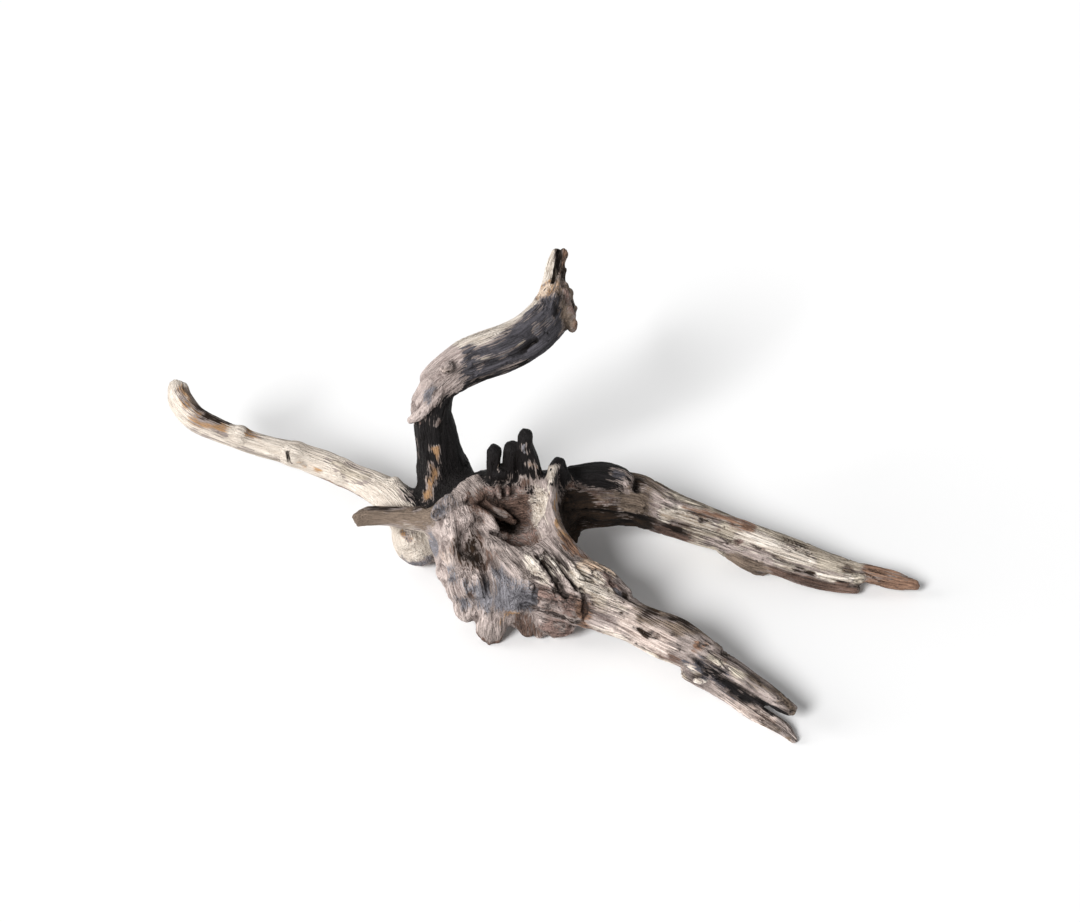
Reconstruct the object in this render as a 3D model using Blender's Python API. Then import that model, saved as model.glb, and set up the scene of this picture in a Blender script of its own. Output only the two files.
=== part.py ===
"""A piece of driftwood: a weathered stump with a trunk, an upper branch and three long limbs.

It grew as one piece, so it is one closed body. Each limb is a tube of oval rings that
follows a smooth centreline. The tubes and the lumps of the stump are fused by a fine
remesh, the joints between them are smoothed, hollows are cut out, and the underside is
worn flat where the wood stands on a level surface.

The frame is +X to the tips of the two right-hand prongs, +Y to the back, +Z up, with the
origin at the bottom centre of the whole piece. Tables are in millimetres.
"""

import math

import bmesh
import bpy
from mathutils import Matrix, Vector

MM = 0.001
RING_SIDES = 16
RINGS_PER_SPAN = 5
# A limb's end: the small ring's share of the end ring's size, how far out that ring and
# the tip stand, as shares of the limb's half width.
CAP_RING_SIZE = 0.7
CAP_RING_HEIGHT = 0.45
CAP_TIP_HEIGHT = 0.6
FUSE_VOXEL = 2.2 * MM
FUSE_SMOOTHING = 4
KEPT_FACES = 0.2
LUMP_SUBDIVISIONS = 4
GROUND_SLAB = (600 * MM, 400 * MM, 40 * MM)
UP = Vector((0, 0, 1))
BACK = Vector((0, 1, 0))
LEFT_UP = Vector((-0.5, 0, 1))
# From the tables' own zero to the bottom centre of the whole piece.
TABLE_ZERO = (1.2, 2.3, 0.0)
WOOD_COLOUR = (0.36, 0.27, 0.21, 1.0)
WOOD_ROUGHNESS = 0.85

# Each limb's stations: x, y, z, half width, half height.
LEFT_LIMB = (
    (-208, 94, 59, 6, 6),
    (-205, 86, 56, 7, 7),
    (-195, 76, 51, 7, 7),
    (-176, 70, 45, 7, 7),
    (-158, 65, 41, 7, 7),
    (-142, 62, 38, 7, 7),
    (-123, 57, 34, 8, 8),
    (-107, 49, 32, 8, 8),
    (-92, 41, 30, 9, 9),
    (-80, 33, 27, 11, 11),
    (-70, 22, 21, 14, 14),
    (-66, 12, 15, 15, 15),
)
TRUNK = (
    (-46, 26, 14, 24, 20),
    (-48, 31, 28, 20, 18),
    (-52, 35, 42, 17, 16),
    (-55, 36, 58, 15, 15),
    (-57, 36, 76, 13, 13),
    (-57, 36, 92, 12, 12),
    (-56, 38, 104, 11, 11),
)
UPPER_BRANCH = (
    (-68, 36, 82, 5, 5),
    (-62, 38, 92, 8, 9),
    (-55, 42, 103, 11, 11),
    (-46, 45, 111, 12, 13),
    (-34, 48, 117, 13, 13),
    (-21, 53, 119, 13, 13),
    (-8, 60, 121, 13, 13),
    (3, 73, 122, 13, 13),
    (9, 88, 125, 11, 11),
    (10, 101, 129, 8, 8),
    (11, 111, 133, 6, 6),
    (13, 119, 136, 5, 5),
)
BROKEN_LOBE = (
    (8, 76, 118, 9, 9),
    (16, 82, 120, 7, 7),
    (19, 89, 122, 6, 6),
    (15, 101, 125, 5, 5),
)
FINGERS = (
    ((-24, 20, 48, 5, 6), (-24, 15, 66, 4, 5), (-23, 12, 84, 4, 4)),
    ((-14, 20, 48, 5, 6), (-14, 15, 66, 4, 5), (-13, 11, 87, 4, 4)),
    (
        (-2, 15, 46, 10, 9),
        (-3, 13, 62, 8, 8),
        (-4, 11, 75, 6, 6),
        (-6, 10, 87, 4, 4),
        (-6, 8, 98, 4, 4),
    ),
    ((12, 17, 46, 9, 9), (12, 16, 58, 8, 8), (12, 15, 71, 5, 5)),
)
FIN = (
    (9, 10, 70, 4, 5),
    (8, 0, 57, 6, 10),
    (8, -9, 48, 7, 12),
    (11, -15, 40, 8, 12),
    (17, -22, 34, 9, 11),
    (25, -30, 31, 9, 9),
    (34, -41, 28, 9, 8),
)
RIGHT_PRONG = (
    (-2, 14, 40, 18, 18),
    (16, 20, 38, 17, 17),
    (36, 26, 35, 16, 16),
    (56, 27, 32, 15, 15),
    (75, 21, 27, 12, 12),
    (95, 17, 22, 11, 11),
    (114, 11, 18, 11, 11),
    (133, 3, 16, 11, 11),
    (153, -4, 13, 11, 10),
    (169, -9, 11, 9, 9),
    (178, -11, 10, 7, 7),
)
RIGHT_TIP = ((172, -8, 12, 6, 6), (188, -11, 10, 5, 5), (201, -14, 8, 5, 5), (210, -15, 7, 3, 3))
RIGHT_STRIP = ((128, 0, 7, 5, 5), (147, -9, 4, 5, 5), (163, -14, 4, 4, 4), (177, -17, 4, 3, 3))
RIGHT_FLAP = ((106, 8, 14, 4, 4), (117, 3, 8, 6, 6), (127, 1, 5, 6, 6), (136, 1, 8, 4, 4))
BARK_STUMP = ((22, 28, 48, 8, 7), (40, 28, 50, 9, 8), (51, 26, 46, 6, 6))
LOWER_PRONG = (
    (0, -38, 28, 14, 14),
    (19, -49, 29, 15, 15),
    (36, -56, 28, 14, 14),
    (53, -64, 25, 12, 12),
    (69, -74, 22, 12, 12),
    (86, -84, 19, 12, 12),
    (104, -96, 15, 10, 10),
    (119, -107, 12, 8, 8),
)
LOWER_STEP = ((20, -36, 36, 10, 9), (34, -42, 35, 10, 9), (47, -50, 31, 6, 6))
LOWER_BARK = ((53, -60, 30, 5, 4), (71, -70, 28, 7, 6), (86, -80, 26, 6, 6), (95, -85, 25, 3, 4))
LOWER_RIDGE = ((86, -83, 22, 8, 8), (104, -96, 19, 7, 7), (119, -108, 16, 7, 6), (131, -117, 14, 4, 4))
LOWER_SPIKE = (
    (82, -87, 9, 7, 7),
    (99, -98, 6, 7, 7),
    (114, -110, 4, 6, 5),
    (126, -120, 3, 4, 4),
    (133, -126, 2, 2, 3),
)
SPUR = (
    (-44, 0, 42, 9, 10),
    (-56, 6, 37, 9, 9),
    (-69, 10, 34, 8, 7),
    (-83, 13, 33, 7, 6),
    (-93, 13, 33, 6, 5),
    (-99, 10, 33, 4, 3),
)
FRONT_TOES = (
    ((-22, -36, 28, 11, 10), (-24, -45, 18, 8, 8), (-25, -50, 8, 6, 6), (-24, -50, -4, 5, 5)),
    ((-8, -36, 26, 9, 9), (-6, -45, 16, 6, 6), (-5, -49, 6, 5, 5)),
    ((0, -36, 28, 7, 8), (1, -45, 16, 5, 6), (2, -49, 6, 5, 5)),
    ((16, -36, 26, 9, 9), (14, -41, 14, 8, 8), (11, -43, -4, 9, 8)),
)
REAR_ROOT = ((-22, 20, 40, 16, 15), (-18, 38, 24, 12, 12), (-14, 50, 10, 9, 10), (-12, 55, -4, 8, 8))

# The stump's lumps: x, y, z, then half sizes along x, y, z.
STUMP_LUMPS = (
    (-18, -10, 28, 42, 34, 24),
    (-32, -28, 22, 19, 18, 20),
    (-12, -30, 26, 30, 20, 20),
    (-12, -37, 14, 15, 13, 12),
    (-45, 4, 34, 18, 18, 20),
    (-32, 18, 36, 20, 16, 20),
    (4, 8, 32, 20, 20, 24),
    (-66, 13, 15, 15, 12, 15),
    (-54, 9, 44, 7, 7, 6),
    (8, -43, 22, 12, 9, 9),
)
# What is missing from it: a bowl on top, a pocket in front of it and one beside the fin.
HOLLOWS = {
    "bowl": (-12, -5, 59, 21, 13, 22),
    "front_pocket": (-8, -20, 57, 15, 8, 15),
    "side_pocket": (30, -7, 30, 15, 17, 17),
}


def clear_scene():
    for obj in list(bpy.data.objects):
        bpy.data.objects.remove(obj)


def wood_material():
    material = bpy.data.materials.new("weathered_wood")
    material.use_nodes = True
    shader = material.node_tree.nodes["Principled BSDF"]
    shader.inputs["Base Color"].default_value = WOOD_COLOUR
    shader.inputs["Roughness"].default_value = WOOD_ROUGHNESS
    shader.inputs["Metallic"].default_value = 0.0
    return material


def smooth_stations(stations):
    """More stations on a Catmull-Rom curve through the given ones."""
    zero = Vector((*TABLE_ZERO, 0, 0))
    rows = [(Vector(row) + zero) * MM for row in stations]
    rows = [2 * rows[0] - rows[1]] + rows + [2 * rows[-1] - rows[-2]]
    made = []
    for before, start, end, after in zip(rows, rows[1:], rows[2:], rows[3:]):
        for step in range(RINGS_PER_SPAN):
            t = step / RINGS_PER_SPAN
            made.append(
                0.5
                * (
                    2 * start
                    + (end - before) * t
                    + (2 * before - 5 * start + 4 * end - after) * t**2
                    + (3 * start - before - 3 * end + after) * t**3
                )
            )
    made.append(rows[-2])
    return made


def add_limb(bm, stations, upward=UP):
    """A closed tube of oval rings, with a rounded cap on each end."""
    rows = smooth_stations(stations)
    centres = [Vector(row[:3]) for row in rows]
    rings = []
    for index, row in enumerate(rows):
        along = centres[min(index + 1, len(rows) - 1)] - centres[max(index - 1, 0)]
        side = along.cross(upward).normalized()
        top = side.cross(along).normalized()
        ring = []
        for corner in range(RING_SIDES):
            angle = 2 * math.pi * corner / RING_SIDES
            offset = side * row[3] * math.cos(angle) + top * row[4] * math.sin(angle)
            ring.append(bm.verts.new(centres[index] + offset))
        rings.append(ring)
    for ring, following in zip(rings, rings[1:]):
        for corner in range(RING_SIDES):
            beyond = (corner + 1) % RING_SIDES
            bm.faces.new((ring[corner], ring[beyond], following[beyond], following[corner]))
    add_cap(bm, rings[0], centres[0] - centres[1], rows[0][3])
    add_cap(bm, rings[-1], centres[-1] - centres[-2], rows[-1][3])


def add_cap(bm, ring, outward, radius):
    """A shallow dome over an end ring: one smaller ring, then a fan to its tip."""
    centre = sum((vertex.co for vertex in ring), Vector()) / len(ring)
    outward = outward.normalized()
    raised = outward * radius * CAP_RING_HEIGHT
    inner = [bm.verts.new(centre.lerp(vertex.co, CAP_RING_SIZE) + raised) for vertex in ring]
    tip = bm.verts.new(centre + outward * radius * CAP_TIP_HEIGHT)
    for corner, vertex in enumerate(ring):
        beyond = (corner + 1) % len(ring)
        bm.faces.new((vertex, ring[beyond], inner[beyond], inner[corner]))
        bm.faces.new((inner[corner], inner[beyond], tip))


def add_lump(bm, lump):
    """An ellipsoid: x, y, z of its centre, then its three half sizes."""
    place = Matrix.Translation((Vector(lump[:3]) + Vector(TABLE_ZERO)) * MM)
    size = Matrix.Diagonal((lump[3] * MM, lump[4] * MM, lump[5] * MM, 1))
    bmesh.ops.create_icosphere(bm, subdivisions=LUMP_SUBDIVISIONS, radius=1, matrix=place @ size)


def object_from(bm, name):
    bmesh.ops.recalc_face_normals(bm, faces=bm.faces)
    mesh = bpy.data.meshes.new(name)
    bm.to_mesh(mesh)
    bm.free()
    obj = bpy.data.objects.new(name, mesh)
    bpy.context.collection.objects.link(obj)
    return obj


def limbs_and_stump():
    """All the limbs and lumps as closed shells that run through each other."""
    bm = bmesh.new()
    for stations in (LEFT_LIMB, RIGHT_PRONG, RIGHT_TIP, RIGHT_STRIP, RIGHT_FLAP, BARK_STUMP):
        add_limb(bm, stations)
    for stations in (LOWER_PRONG, LOWER_STEP, LOWER_BARK, LOWER_RIDGE, LOWER_SPIKE, FIN, SPUR):
        add_limb(bm, stations)
    for stations in (TRUNK, *FINGERS, *FRONT_TOES, REAR_ROOT):
        add_limb(bm, stations, upward=BACK)
    for stations in (UPPER_BRANCH, BROKEN_LOBE):
        add_limb(bm, stations, upward=LEFT_UP)
    for lump in STUMP_LUMPS:
        add_lump(bm, lump)
    return object_from(bm, "driftwood")


def hollow_cutter(name, lump):
    bm = bmesh.new()
    add_lump(bm, lump)
    return object_from(bm, name)


def ground_cutter():
    """A slab below the wood: what it takes off leaves level feet."""
    bm = bmesh.new()
    place = Matrix.Translation((0, 0, -GROUND_SLAB[2] / 2))
    size = Matrix.Diagonal((*GROUND_SLAB, 1))
    bmesh.ops.create_cube(bm, size=1, matrix=place @ size)
    return object_from(bm, "ground_cutter")


def fuse(driftwood):
    remesh = driftwood.modifiers.new("fuse", "REMESH")
    remesh.mode = "VOXEL"
    remesh.voxel_size = FUSE_VOXEL
    remesh.use_smooth_shade = True
    smooth = driftwood.modifiers.new("wear", "SMOOTH")
    smooth.factor = 0.5
    smooth.iterations = FUSE_SMOOTHING


def cut(driftwood, cutter):
    cutter.hide_render = True
    cutter.display_type = "WIRE"
    boolean = driftwood.modifiers.new(cutter.name, "BOOLEAN")
    boolean.operation = "DIFFERENCE"
    boolean.object = cutter


def thin_out(driftwood):
    decimate = driftwood.modifiers.new("thin_out", "DECIMATE")
    decimate.ratio = KEPT_FACES


def main():
    clear_scene()
    driftwood = limbs_and_stump()
    driftwood.data.materials.append(wood_material())
    fuse(driftwood)
    for name, lump in HOLLOWS.items():
        cut(driftwood, hollow_cutter(name, lump))
    thin_out(driftwood)
    cut(driftwood, ground_cutter())


main()
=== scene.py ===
# %% [markdown]
# # A piece of driftwood
#
# A weathered stump that the sea has worn: a dark trunk bends over into an upper branch, a long
# bleached limb runs to the left, and two prongs fork to the right. It grew as one piece of wood,
# so it is modelled as one mesh.
#
# Wood like this is hard to box-model, because limbs melt into each other and the surface is all
# cracks and grain. So the shape is a *field*: a 3-D grid of numbers, each the distance to the
# wood. Fields add, carve and blend like clay. The grid is then turned into a mesh, the grain is
# cut into it with Geometry Nodes, and the colours are painted on by strokes. Tables here are in
# millimetres.

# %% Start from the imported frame
import math

import bpy
import numpy as np
import openvdb
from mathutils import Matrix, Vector


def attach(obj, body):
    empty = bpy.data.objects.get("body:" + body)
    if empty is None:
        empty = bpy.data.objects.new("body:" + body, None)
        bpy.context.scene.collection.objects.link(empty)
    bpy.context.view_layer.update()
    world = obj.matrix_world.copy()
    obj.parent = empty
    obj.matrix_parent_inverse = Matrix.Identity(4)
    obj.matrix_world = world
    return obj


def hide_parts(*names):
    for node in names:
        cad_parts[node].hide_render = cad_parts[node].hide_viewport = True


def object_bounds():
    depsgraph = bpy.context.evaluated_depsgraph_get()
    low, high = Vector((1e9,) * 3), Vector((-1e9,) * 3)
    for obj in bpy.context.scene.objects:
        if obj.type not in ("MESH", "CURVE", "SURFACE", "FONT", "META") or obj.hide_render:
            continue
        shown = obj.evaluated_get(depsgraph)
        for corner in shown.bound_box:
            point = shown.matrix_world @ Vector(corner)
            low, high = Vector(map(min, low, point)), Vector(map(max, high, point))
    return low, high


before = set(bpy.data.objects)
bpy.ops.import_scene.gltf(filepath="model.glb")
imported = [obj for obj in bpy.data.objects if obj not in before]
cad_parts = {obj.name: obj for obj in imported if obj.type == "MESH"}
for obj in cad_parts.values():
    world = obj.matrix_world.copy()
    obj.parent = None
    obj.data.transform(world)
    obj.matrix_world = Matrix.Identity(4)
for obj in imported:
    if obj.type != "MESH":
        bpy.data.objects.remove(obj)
frame_box = [list(corner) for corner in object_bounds()]
MM = 0.001
# The tables' zero lies under the stump, this far in millimetres from the middle of the frame.
TABLE_ZERO = np.array([1.2, 2.3, 0.0])
print("frame box", frame_box)

# %% [markdown]
# ## The limbs as tables
#
# Each limb is a list of stations along its middle: x, y, z, half width, half height. Few stations
# are enough, because a smooth curve is drawn through them. The number before each list is how far,
# in millimetres, that limb melts into what it meets. A knot or a stub has a small number and keeps
# its crease. The direction tells which way is up across the limb. A curve through stations was
# chosen over a sculpted mesh, because every limb can still be moved by changing a number.

# %% Limb stations
UP = (0, 0, 1)
BACK = (0, 1, 0)
LEFT_UP = (-0.5, 0, 1)

LEFT_SIDE = [
    # the long bleached limb, from its upturned tip to the knob it stands on
    (6, UP, [(-208, 95, 59, 6, 6), (-205, 86, 56, 7, 7), (-195, 76, 51, 7, 7),
             (-176, 70, 45, 7, 6), (-158, 65, 41, 6, 7), (-142, 62, 38, 7, 7),
             (-123, 57, 34, 8, 8), (-107, 49, 32, 7, 8), (-92, 41, 30, 9, 9),
             (-80, 33, 27, 11, 11), (-70, 22, 21, 13, 13), (-66, 12, 15, 14, 14)]),
    # a bud on the limb
    (2, UP, [(-82, 36, 30, 5, 5), (-80, 37, 36, 4, 4)]),
    # the spur of fibrous wood over it
    (3, UP, [(-44, 0, 42, 8, 8), (-56, 6, 37, 8, 8), (-69, 10, 34, 7, 6), (-83, 13, 33, 6, 5),
             (-93, 13, 33, 6, 5), (-99, 10, 33, 4, 4)]),
]
TRUNK_AND_BRANCH = [
    # the trunk
    (7, BACK, [(-46, 26, 10, 22, 20), (-48, 31, 28, 19, 17), (-51, 35, 42, 16, 15),
               (-54, 36, 58, 13, 13), (-56, 36, 76, 12, 12), (-57, 36, 90, 10, 11),
               (-55, 38, 104, 10, 10)]),
    # the branch, from the cuff round the trunk to the thin spike
    (2, LEFT_UP, [(-66, 32, 87, 3, 3), (-63, 33, 95, 5, 6), (-56, 37, 105, 9, 10),
                  (-45, 43, 112, 11, 12), (-34, 48, 116, 13, 13), (-21, 53, 118, 13, 13),
                  (-8, 60, 120, 13, 12), (3, 73, 121, 12, 12), (8, 88, 124, 10, 9),
                  (10, 101, 129, 7, 6), (11, 111, 133, 6, 5), (13, 120, 136, 5, 4)]),
    # the broken lobe beside the spike
    (2, LEFT_UP, [(8, 76, 118, 8, 7), (15, 81, 120, 6, 6), (17, 88, 123, 5, 5),
                  (14, 100, 126, 4, 3)]),
]
FINGERS = [
    # four charred fingers behind the bowl
    (2, BACK, [(-24, 20, 46, 5, 6), (-24, 15, 66, 4, 5), (-23, 12, 81, 4, 4)]),
    (2, BACK, [(-14, 20, 46, 5, 6), (-14, 15, 66, 4.5, 5), (-13, 11, 84, 4.5, 4)]),
    (2, BACK, [(-2, 16, 44, 10, 9), (-3, 13, 62, 7, 7), (-4, 11, 75, 5.5, 5),
               (-6, 10, 87, 4, 4), (-6, 8, 95, 4, 4)]),
    (2, BACK, [(12, 18, 46, 9, 8), (12, 16, 58, 7, 7), (12, 15, 68, 4.5, 5)]),
]
FIN = [
    # the sharp crest, and the broad foot on its left
    (3, UP, [(9, 11, 69, 3, 5), (8, 0, 58, 3.5, 11), (8, -9, 49, 5, 13), (11, -15, 40, 6, 12),
             (17, -22, 34, 7, 11), (25, -30, 31, 8, 9), (34, -41, 28, 9, 8)]),
    (5, UP, [(6, 8, 60, 3, 7), (3, -2, 50, 6, 8), (2, -14, 44, 8, 7), (9, -27, 40, 9, 6),
             (18, -38, 36, 8, 6)]),
]
RIGHT_SIDE = [
    # the prong
    (7, UP, [(-2, 14, 40, 18, 18), (16, 20, 38, 17, 17), (36, 26, 35, 16, 16),
             (56, 27, 32, 14, 15), (75, 21, 27, 12, 12), (95, 17, 22, 11, 11),
             (114, 11, 18, 10, 11), (133, 3, 16, 10, 10), (153, -4, 13, 10, 9),
             (169, -9, 11, 9, 8), (178, -11, 11, 7, 6)]),
    # its thin tip
    (1, UP, [(172, -8, 12, 5, 6), (188, -11, 10, 5, 5), (201, -14, 8, 4, 5), (210, -15, 7, 3, 3)]),
    # a loose strip and a flap under it
    (1, UP, [(130, 0, 8, 5, 4), (147, -8, 6, 4, 4), (163, -13, 5, 4, 3), (177, -16, 5, 3, 3)]),
    (2, UP, [(106, 8, 14, 4, 4), (117, 3, 9, 5, 5), (127, 1, 6, 5, 6), (134, 1, 8, 4, 3)]),
    # the bark left on its root, and the ridge that runs on from it
    (1, UP, [(20, 27, 50, 6, 5), (36, 27, 51, 8, 6), (46, 25, 49, 7, 7), (50, 24, 46, 5, 6)]),
    (2, UP, [(46, 30, 40, 6, 6), (66, 28, 37, 6, 5), (88, 22, 30, 5, 4), (110, 15, 25, 4, 3)]),
]
LOWER_SIDE = [
    # the prong
    (6, UP, [(0, -38, 28, 14, 14), (19, -49, 29, 14, 13), (36, -56, 27, 13, 12),
             (53, -64, 25, 11, 10), (69, -74, 22, 10, 10), (86, -83, 19, 9, 9),
             (104, -95, 16, 8, 7), (119, -106, 13, 6, 5)]),
    # the step at its root, and the strip of bark
    (1, UP, [(22, -36, 37, 8, 7), (34, -43, 36, 9, 7), (46, -51, 32, 6, 5)]),
    (1, UP, [(53, -60, 30, 5, 3), (71, -70, 28, 7, 5), (86, -80, 26, 6, 4), (95, -85, 25, 3, 3)]),
    # its split end: a slab above the gap and a spike below it
    (1, UP, [(84, -82, 22, 8, 6), (104, -95, 19, 6, 6), (119, -107, 16, 6, 5),
             (131, -116, 14, 4, 3)]),
    (1, UP, [(82, -85, 11, 6, 6), (99, -97, 8, 5, 5), (114, -109, 5, 5, 4),
             (126, -119, 4, 4, 3), (133, -126, 2, 2, 2)]),
]
TOES = [
    # four toes in front
    (4, BACK, [(-22, -36, 28, 11, 10), (-24, -45, 18, 8, 8), (-25, -50, 8, 6, 6),
               (-24, -50, -4, 5, 5)]),
    (2, BACK, [(-8, -36, 26, 8, 8), (-6, -45, 16, 5, 5), (-5, -49, 5, 4, 4)]),
    (1, BACK, [(0, -36, 28, 6, 7), (1, -45, 16, 4, 5), (2, -49, 5, 4, 4)]),
    (2, BACK, [(16, -36, 26, 9, 8), (14, -41, 14, 8, 7), (11, -43, -4, 9, 8)]),
    # the root behind
    (6, BACK, [(-22, 20, 40, 16, 15), (-18, 38, 24, 12, 12), (-14, 50, 10, 9, 10),
               (-12, 55, -4, 8, 8)]),
]
LIMBS = LEFT_SIDE + TRUNK_AND_BRANCH + FINGERS + FIN + RIGHT_SIDE + LOWER_SIDE + TOES

# %% [markdown]
# ## Lumps and folds
#
# The stump between the limbs is a heap of egg shapes: centre, then half sizes. They could be
# spheres pushed together by hand, but a table of them blends in the same way as the limbs do. Folds
# are thin limbs laid on the finished surface, where the wood grew in ridges: round the bowl, down
# the front, and at the knots.

# %% Lumps
LUMPS = [
    # the stump
    (8, (-18, -10, 27, 42, 33, 23)),
    (6, (-33, -28, 22, 17, 17, 19)),
    (8, (-12, -29, 25, 29, 20, 19)),
    (6, (-12, -37, 14, 15, 13, 12)),
    (6, (-43, 4, 34, 16, 17, 18)),
    (6, (-32, 18, 36, 20, 16, 20)),
    (6, (4, 8, 32, 20, 20, 24)),
    # the knob under the left limb
    (3, (-67, 13, 16, 14, 11, 13)),
    (2, (-71, 5, 22, 7, 6, 6)),
    # lobes low on the left, in the bowl, at the right of the front and down it
    (3, (-36, -42, 17, 9, 8, 10)),
    (2, (-32, -28, 45, 6, 6, 5)),
    (1, (-19, 11, 66, 5, 5, 5)),
    (1, (6, -54, 33, 8, 7, 6)),
    (1, (15, -58, 34, 6, 6, 5)),
    (1, (20, -60, 29, 5, 6, 8)),
    (1.5, (11, -51, 14, 11, 8, 10)),
    (3, (-25, -51, 9, 8, 6, 9)),
    (3, (-13, -44, 27, 12, 9, 12)),
    (1.5, (-38, -38, 29, 11, 10, 11)),
    (1.5, (-31, -44, 33, 6, 6, 7)),
    # the dome behind the spur, and a lump in the bowl
    (2, (-41, -7, 46, 10, 9, 9)),
    (2, (-47, -14, 43, 6, 7, 6)),
    (2, (-4, 7, 47, 7, 6, 7)),
    # knots on the elbow
    (3, (-48, 37, 116, 6, 6, 6)),
    (1, (-48, 34, 121, 4, 4, 4)),
    (3, (-57, 33, 112, 6, 5, 5)),
    # swellings along the left limb
    (3, (-139, 60, 39, 8, 7, 7)),
    (3, (-112, 50, 34, 7, 7, 7)),
    (3, (-170, 68, 46, 5, 6, 6)),
    # crumbs of the broken lobe
    (1, (17, 79, 124, 5, 5, 5)),
    (1, (15, 90, 128, 5, 5, 5)),
    (1, (20, 84, 124, 3, 3, 3)),
    (1, (20, 75, 119, 3, 3, 4)),
    (1, (18, 93, 128, 3, 3, 3)),
    (1, (12, 84, 132, 3, 4, 3)),
    (1, (16, 97, 131, 2, 3, 3)),
    (1, (10, 76, 131, 3, 5, 3)),
    # a splinter on the lower prong
    (1, (87, -95, 13, 5, 2, 2)),
]
print("lumps", len(LUMPS))

# %% Folds
FOLDS = [
    # the knob beside the spur and the rim behind the bowl
    (1, UP, [(-54, -3, 49, 4, 4), (-49, 0, 51, 6, 6), (-43, 5, 53, 5, 4), (-38, 10, 55, 4, 4)]),
    (1, UP, [(-46, 3, 53, 2, 2), (-38, 12, 57, 3, 3), (-31, 15, 58, 3, 3)]),
    (1, UP, [(-42, 1, 52, 2, 2), (-33, 9, 56, 2, 3), (-27, 12, 57, 2, 2)]),
    # short frills under the fingers
    (2, BACK, [(-27, 14, 59, 2, 2), (-25, 10, 56, 2, 3), (-24, 7, 52, 1, 2)]),
    (2, BACK, [(-22, 14, 60, 2, 2), (-21, 10, 57, 2, 3), (-20, 7, 52, 1, 2)]),
    (2, BACK, [(-17, 14, 60, 2, 2), (-16, 11, 57, 2, 2), (-16, 8, 53, 1, 2)]),
    # the cuff's lip
    (1, LEFT_UP, [(-69, 29, 89, 2, 2), (-64, 25, 95, 2, 3), (-56, 27, 103, 3, 3),
                  (-48, 32, 109, 2, 2)]),
    # tongues inside the bowl, and its rim
    (3, UP, [(-28, 5, 47, 2, 3), (-21, 2, 45, 3, 3), (-13, 0, 40, 2, 2)]),
    (3, UP, [(-35, 0, 52, 2, 2), (-31, 6, 54, 2, 3), (-26, 9, 55, 2, 2)]),
    (2, UP, [(-40, -6, 53, 2, 2), (-34, -4, 53, 3, 3), (-27, -8, 51, 3, 3), (-22, -16, 49, 2, 2)]),
    # the left side and the front shoulder
    (2, UP, [(-48, -10, 49, 2, 2), (-44, -18, 47, 3, 3), (-44, -26, 42, 3, 3),
             (-40, -34, 38, 2, 2)]),
    (2, BACK, [(-46, -14, 36, 3, 3), (-45, -26, 33, 3, 3), (-42, -37, 27, 3, 3),
               (-38, -42, 16, 3, 3)]),
    (2, UP, [(-32, -20, 47, 3, 3), (-21, -29, 47, 3, 3), (-8, -34, 45, 3, 3), (4, -31, 45, 3, 3)]),
    # ridges down the front
    (2, UP, [(-24, -22, 47, 2, 2), (-12, -31, 46, 3, 3), (0, -39, 44, 3, 3), (10, -47, 41, 2, 2)]),
    (2, UP, [(-27, -28, 46, 2, 2), (-16, -38, 43, 3, 3), (-5, -46, 38, 3, 3), (2, -51, 30, 2, 2)]),
    (2, UP, [(-31, -32, 44, 2, 2), (-23, -41, 38, 3, 3), (-15, -48, 31, 3, 3),
             (-10, -51, 22, 2, 2)]),
    # sharper ridges towards the lower prong
    (1, UP, [(3, -28, 45, 2, 2), (12, -40, 43, 2, 3), (20, -52, 40, 2, 2)]),
    (1, UP, [(8, -26, 45, 2, 2), (17, -38, 43, 2, 3), (25, -50, 40, 2, 2)]),
    (1, UP, [(-2, -32, 44, 2, 2), (7, -43, 42, 2, 2), (15, -54, 37, 2, 2)]),
    # rings round the lobe on the left, and round the trunk's knot
    (1, UP, [(-43, -30, 36, 2, 2), (-36, -41, 36, 2, 2), (-30, -46, 26, 2, 2),
             (-36, -45, 20, 2, 2)]),
    (1, BACK, [(-58, 26, 92, 1, 1), (-55, 27, 95, 1, 1), (-51, 28, 92, 1, 1),
               (-55, 26, 88, 1, 1), (-58, 26, 92, 1, 1)]),
]
print("folds", len(FOLDS))

# %% [markdown]
# ## Hollows and cracks
#
# What rotted or broke out is taken away. Hollows are eggs. The bowl on top and the pocket beside
# the fin are carved before the folds are laid, so that folds can run down into them, and the small
# ones after. Cracks are thin tubes, wide across the surface by one number and deep by the other.

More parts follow.
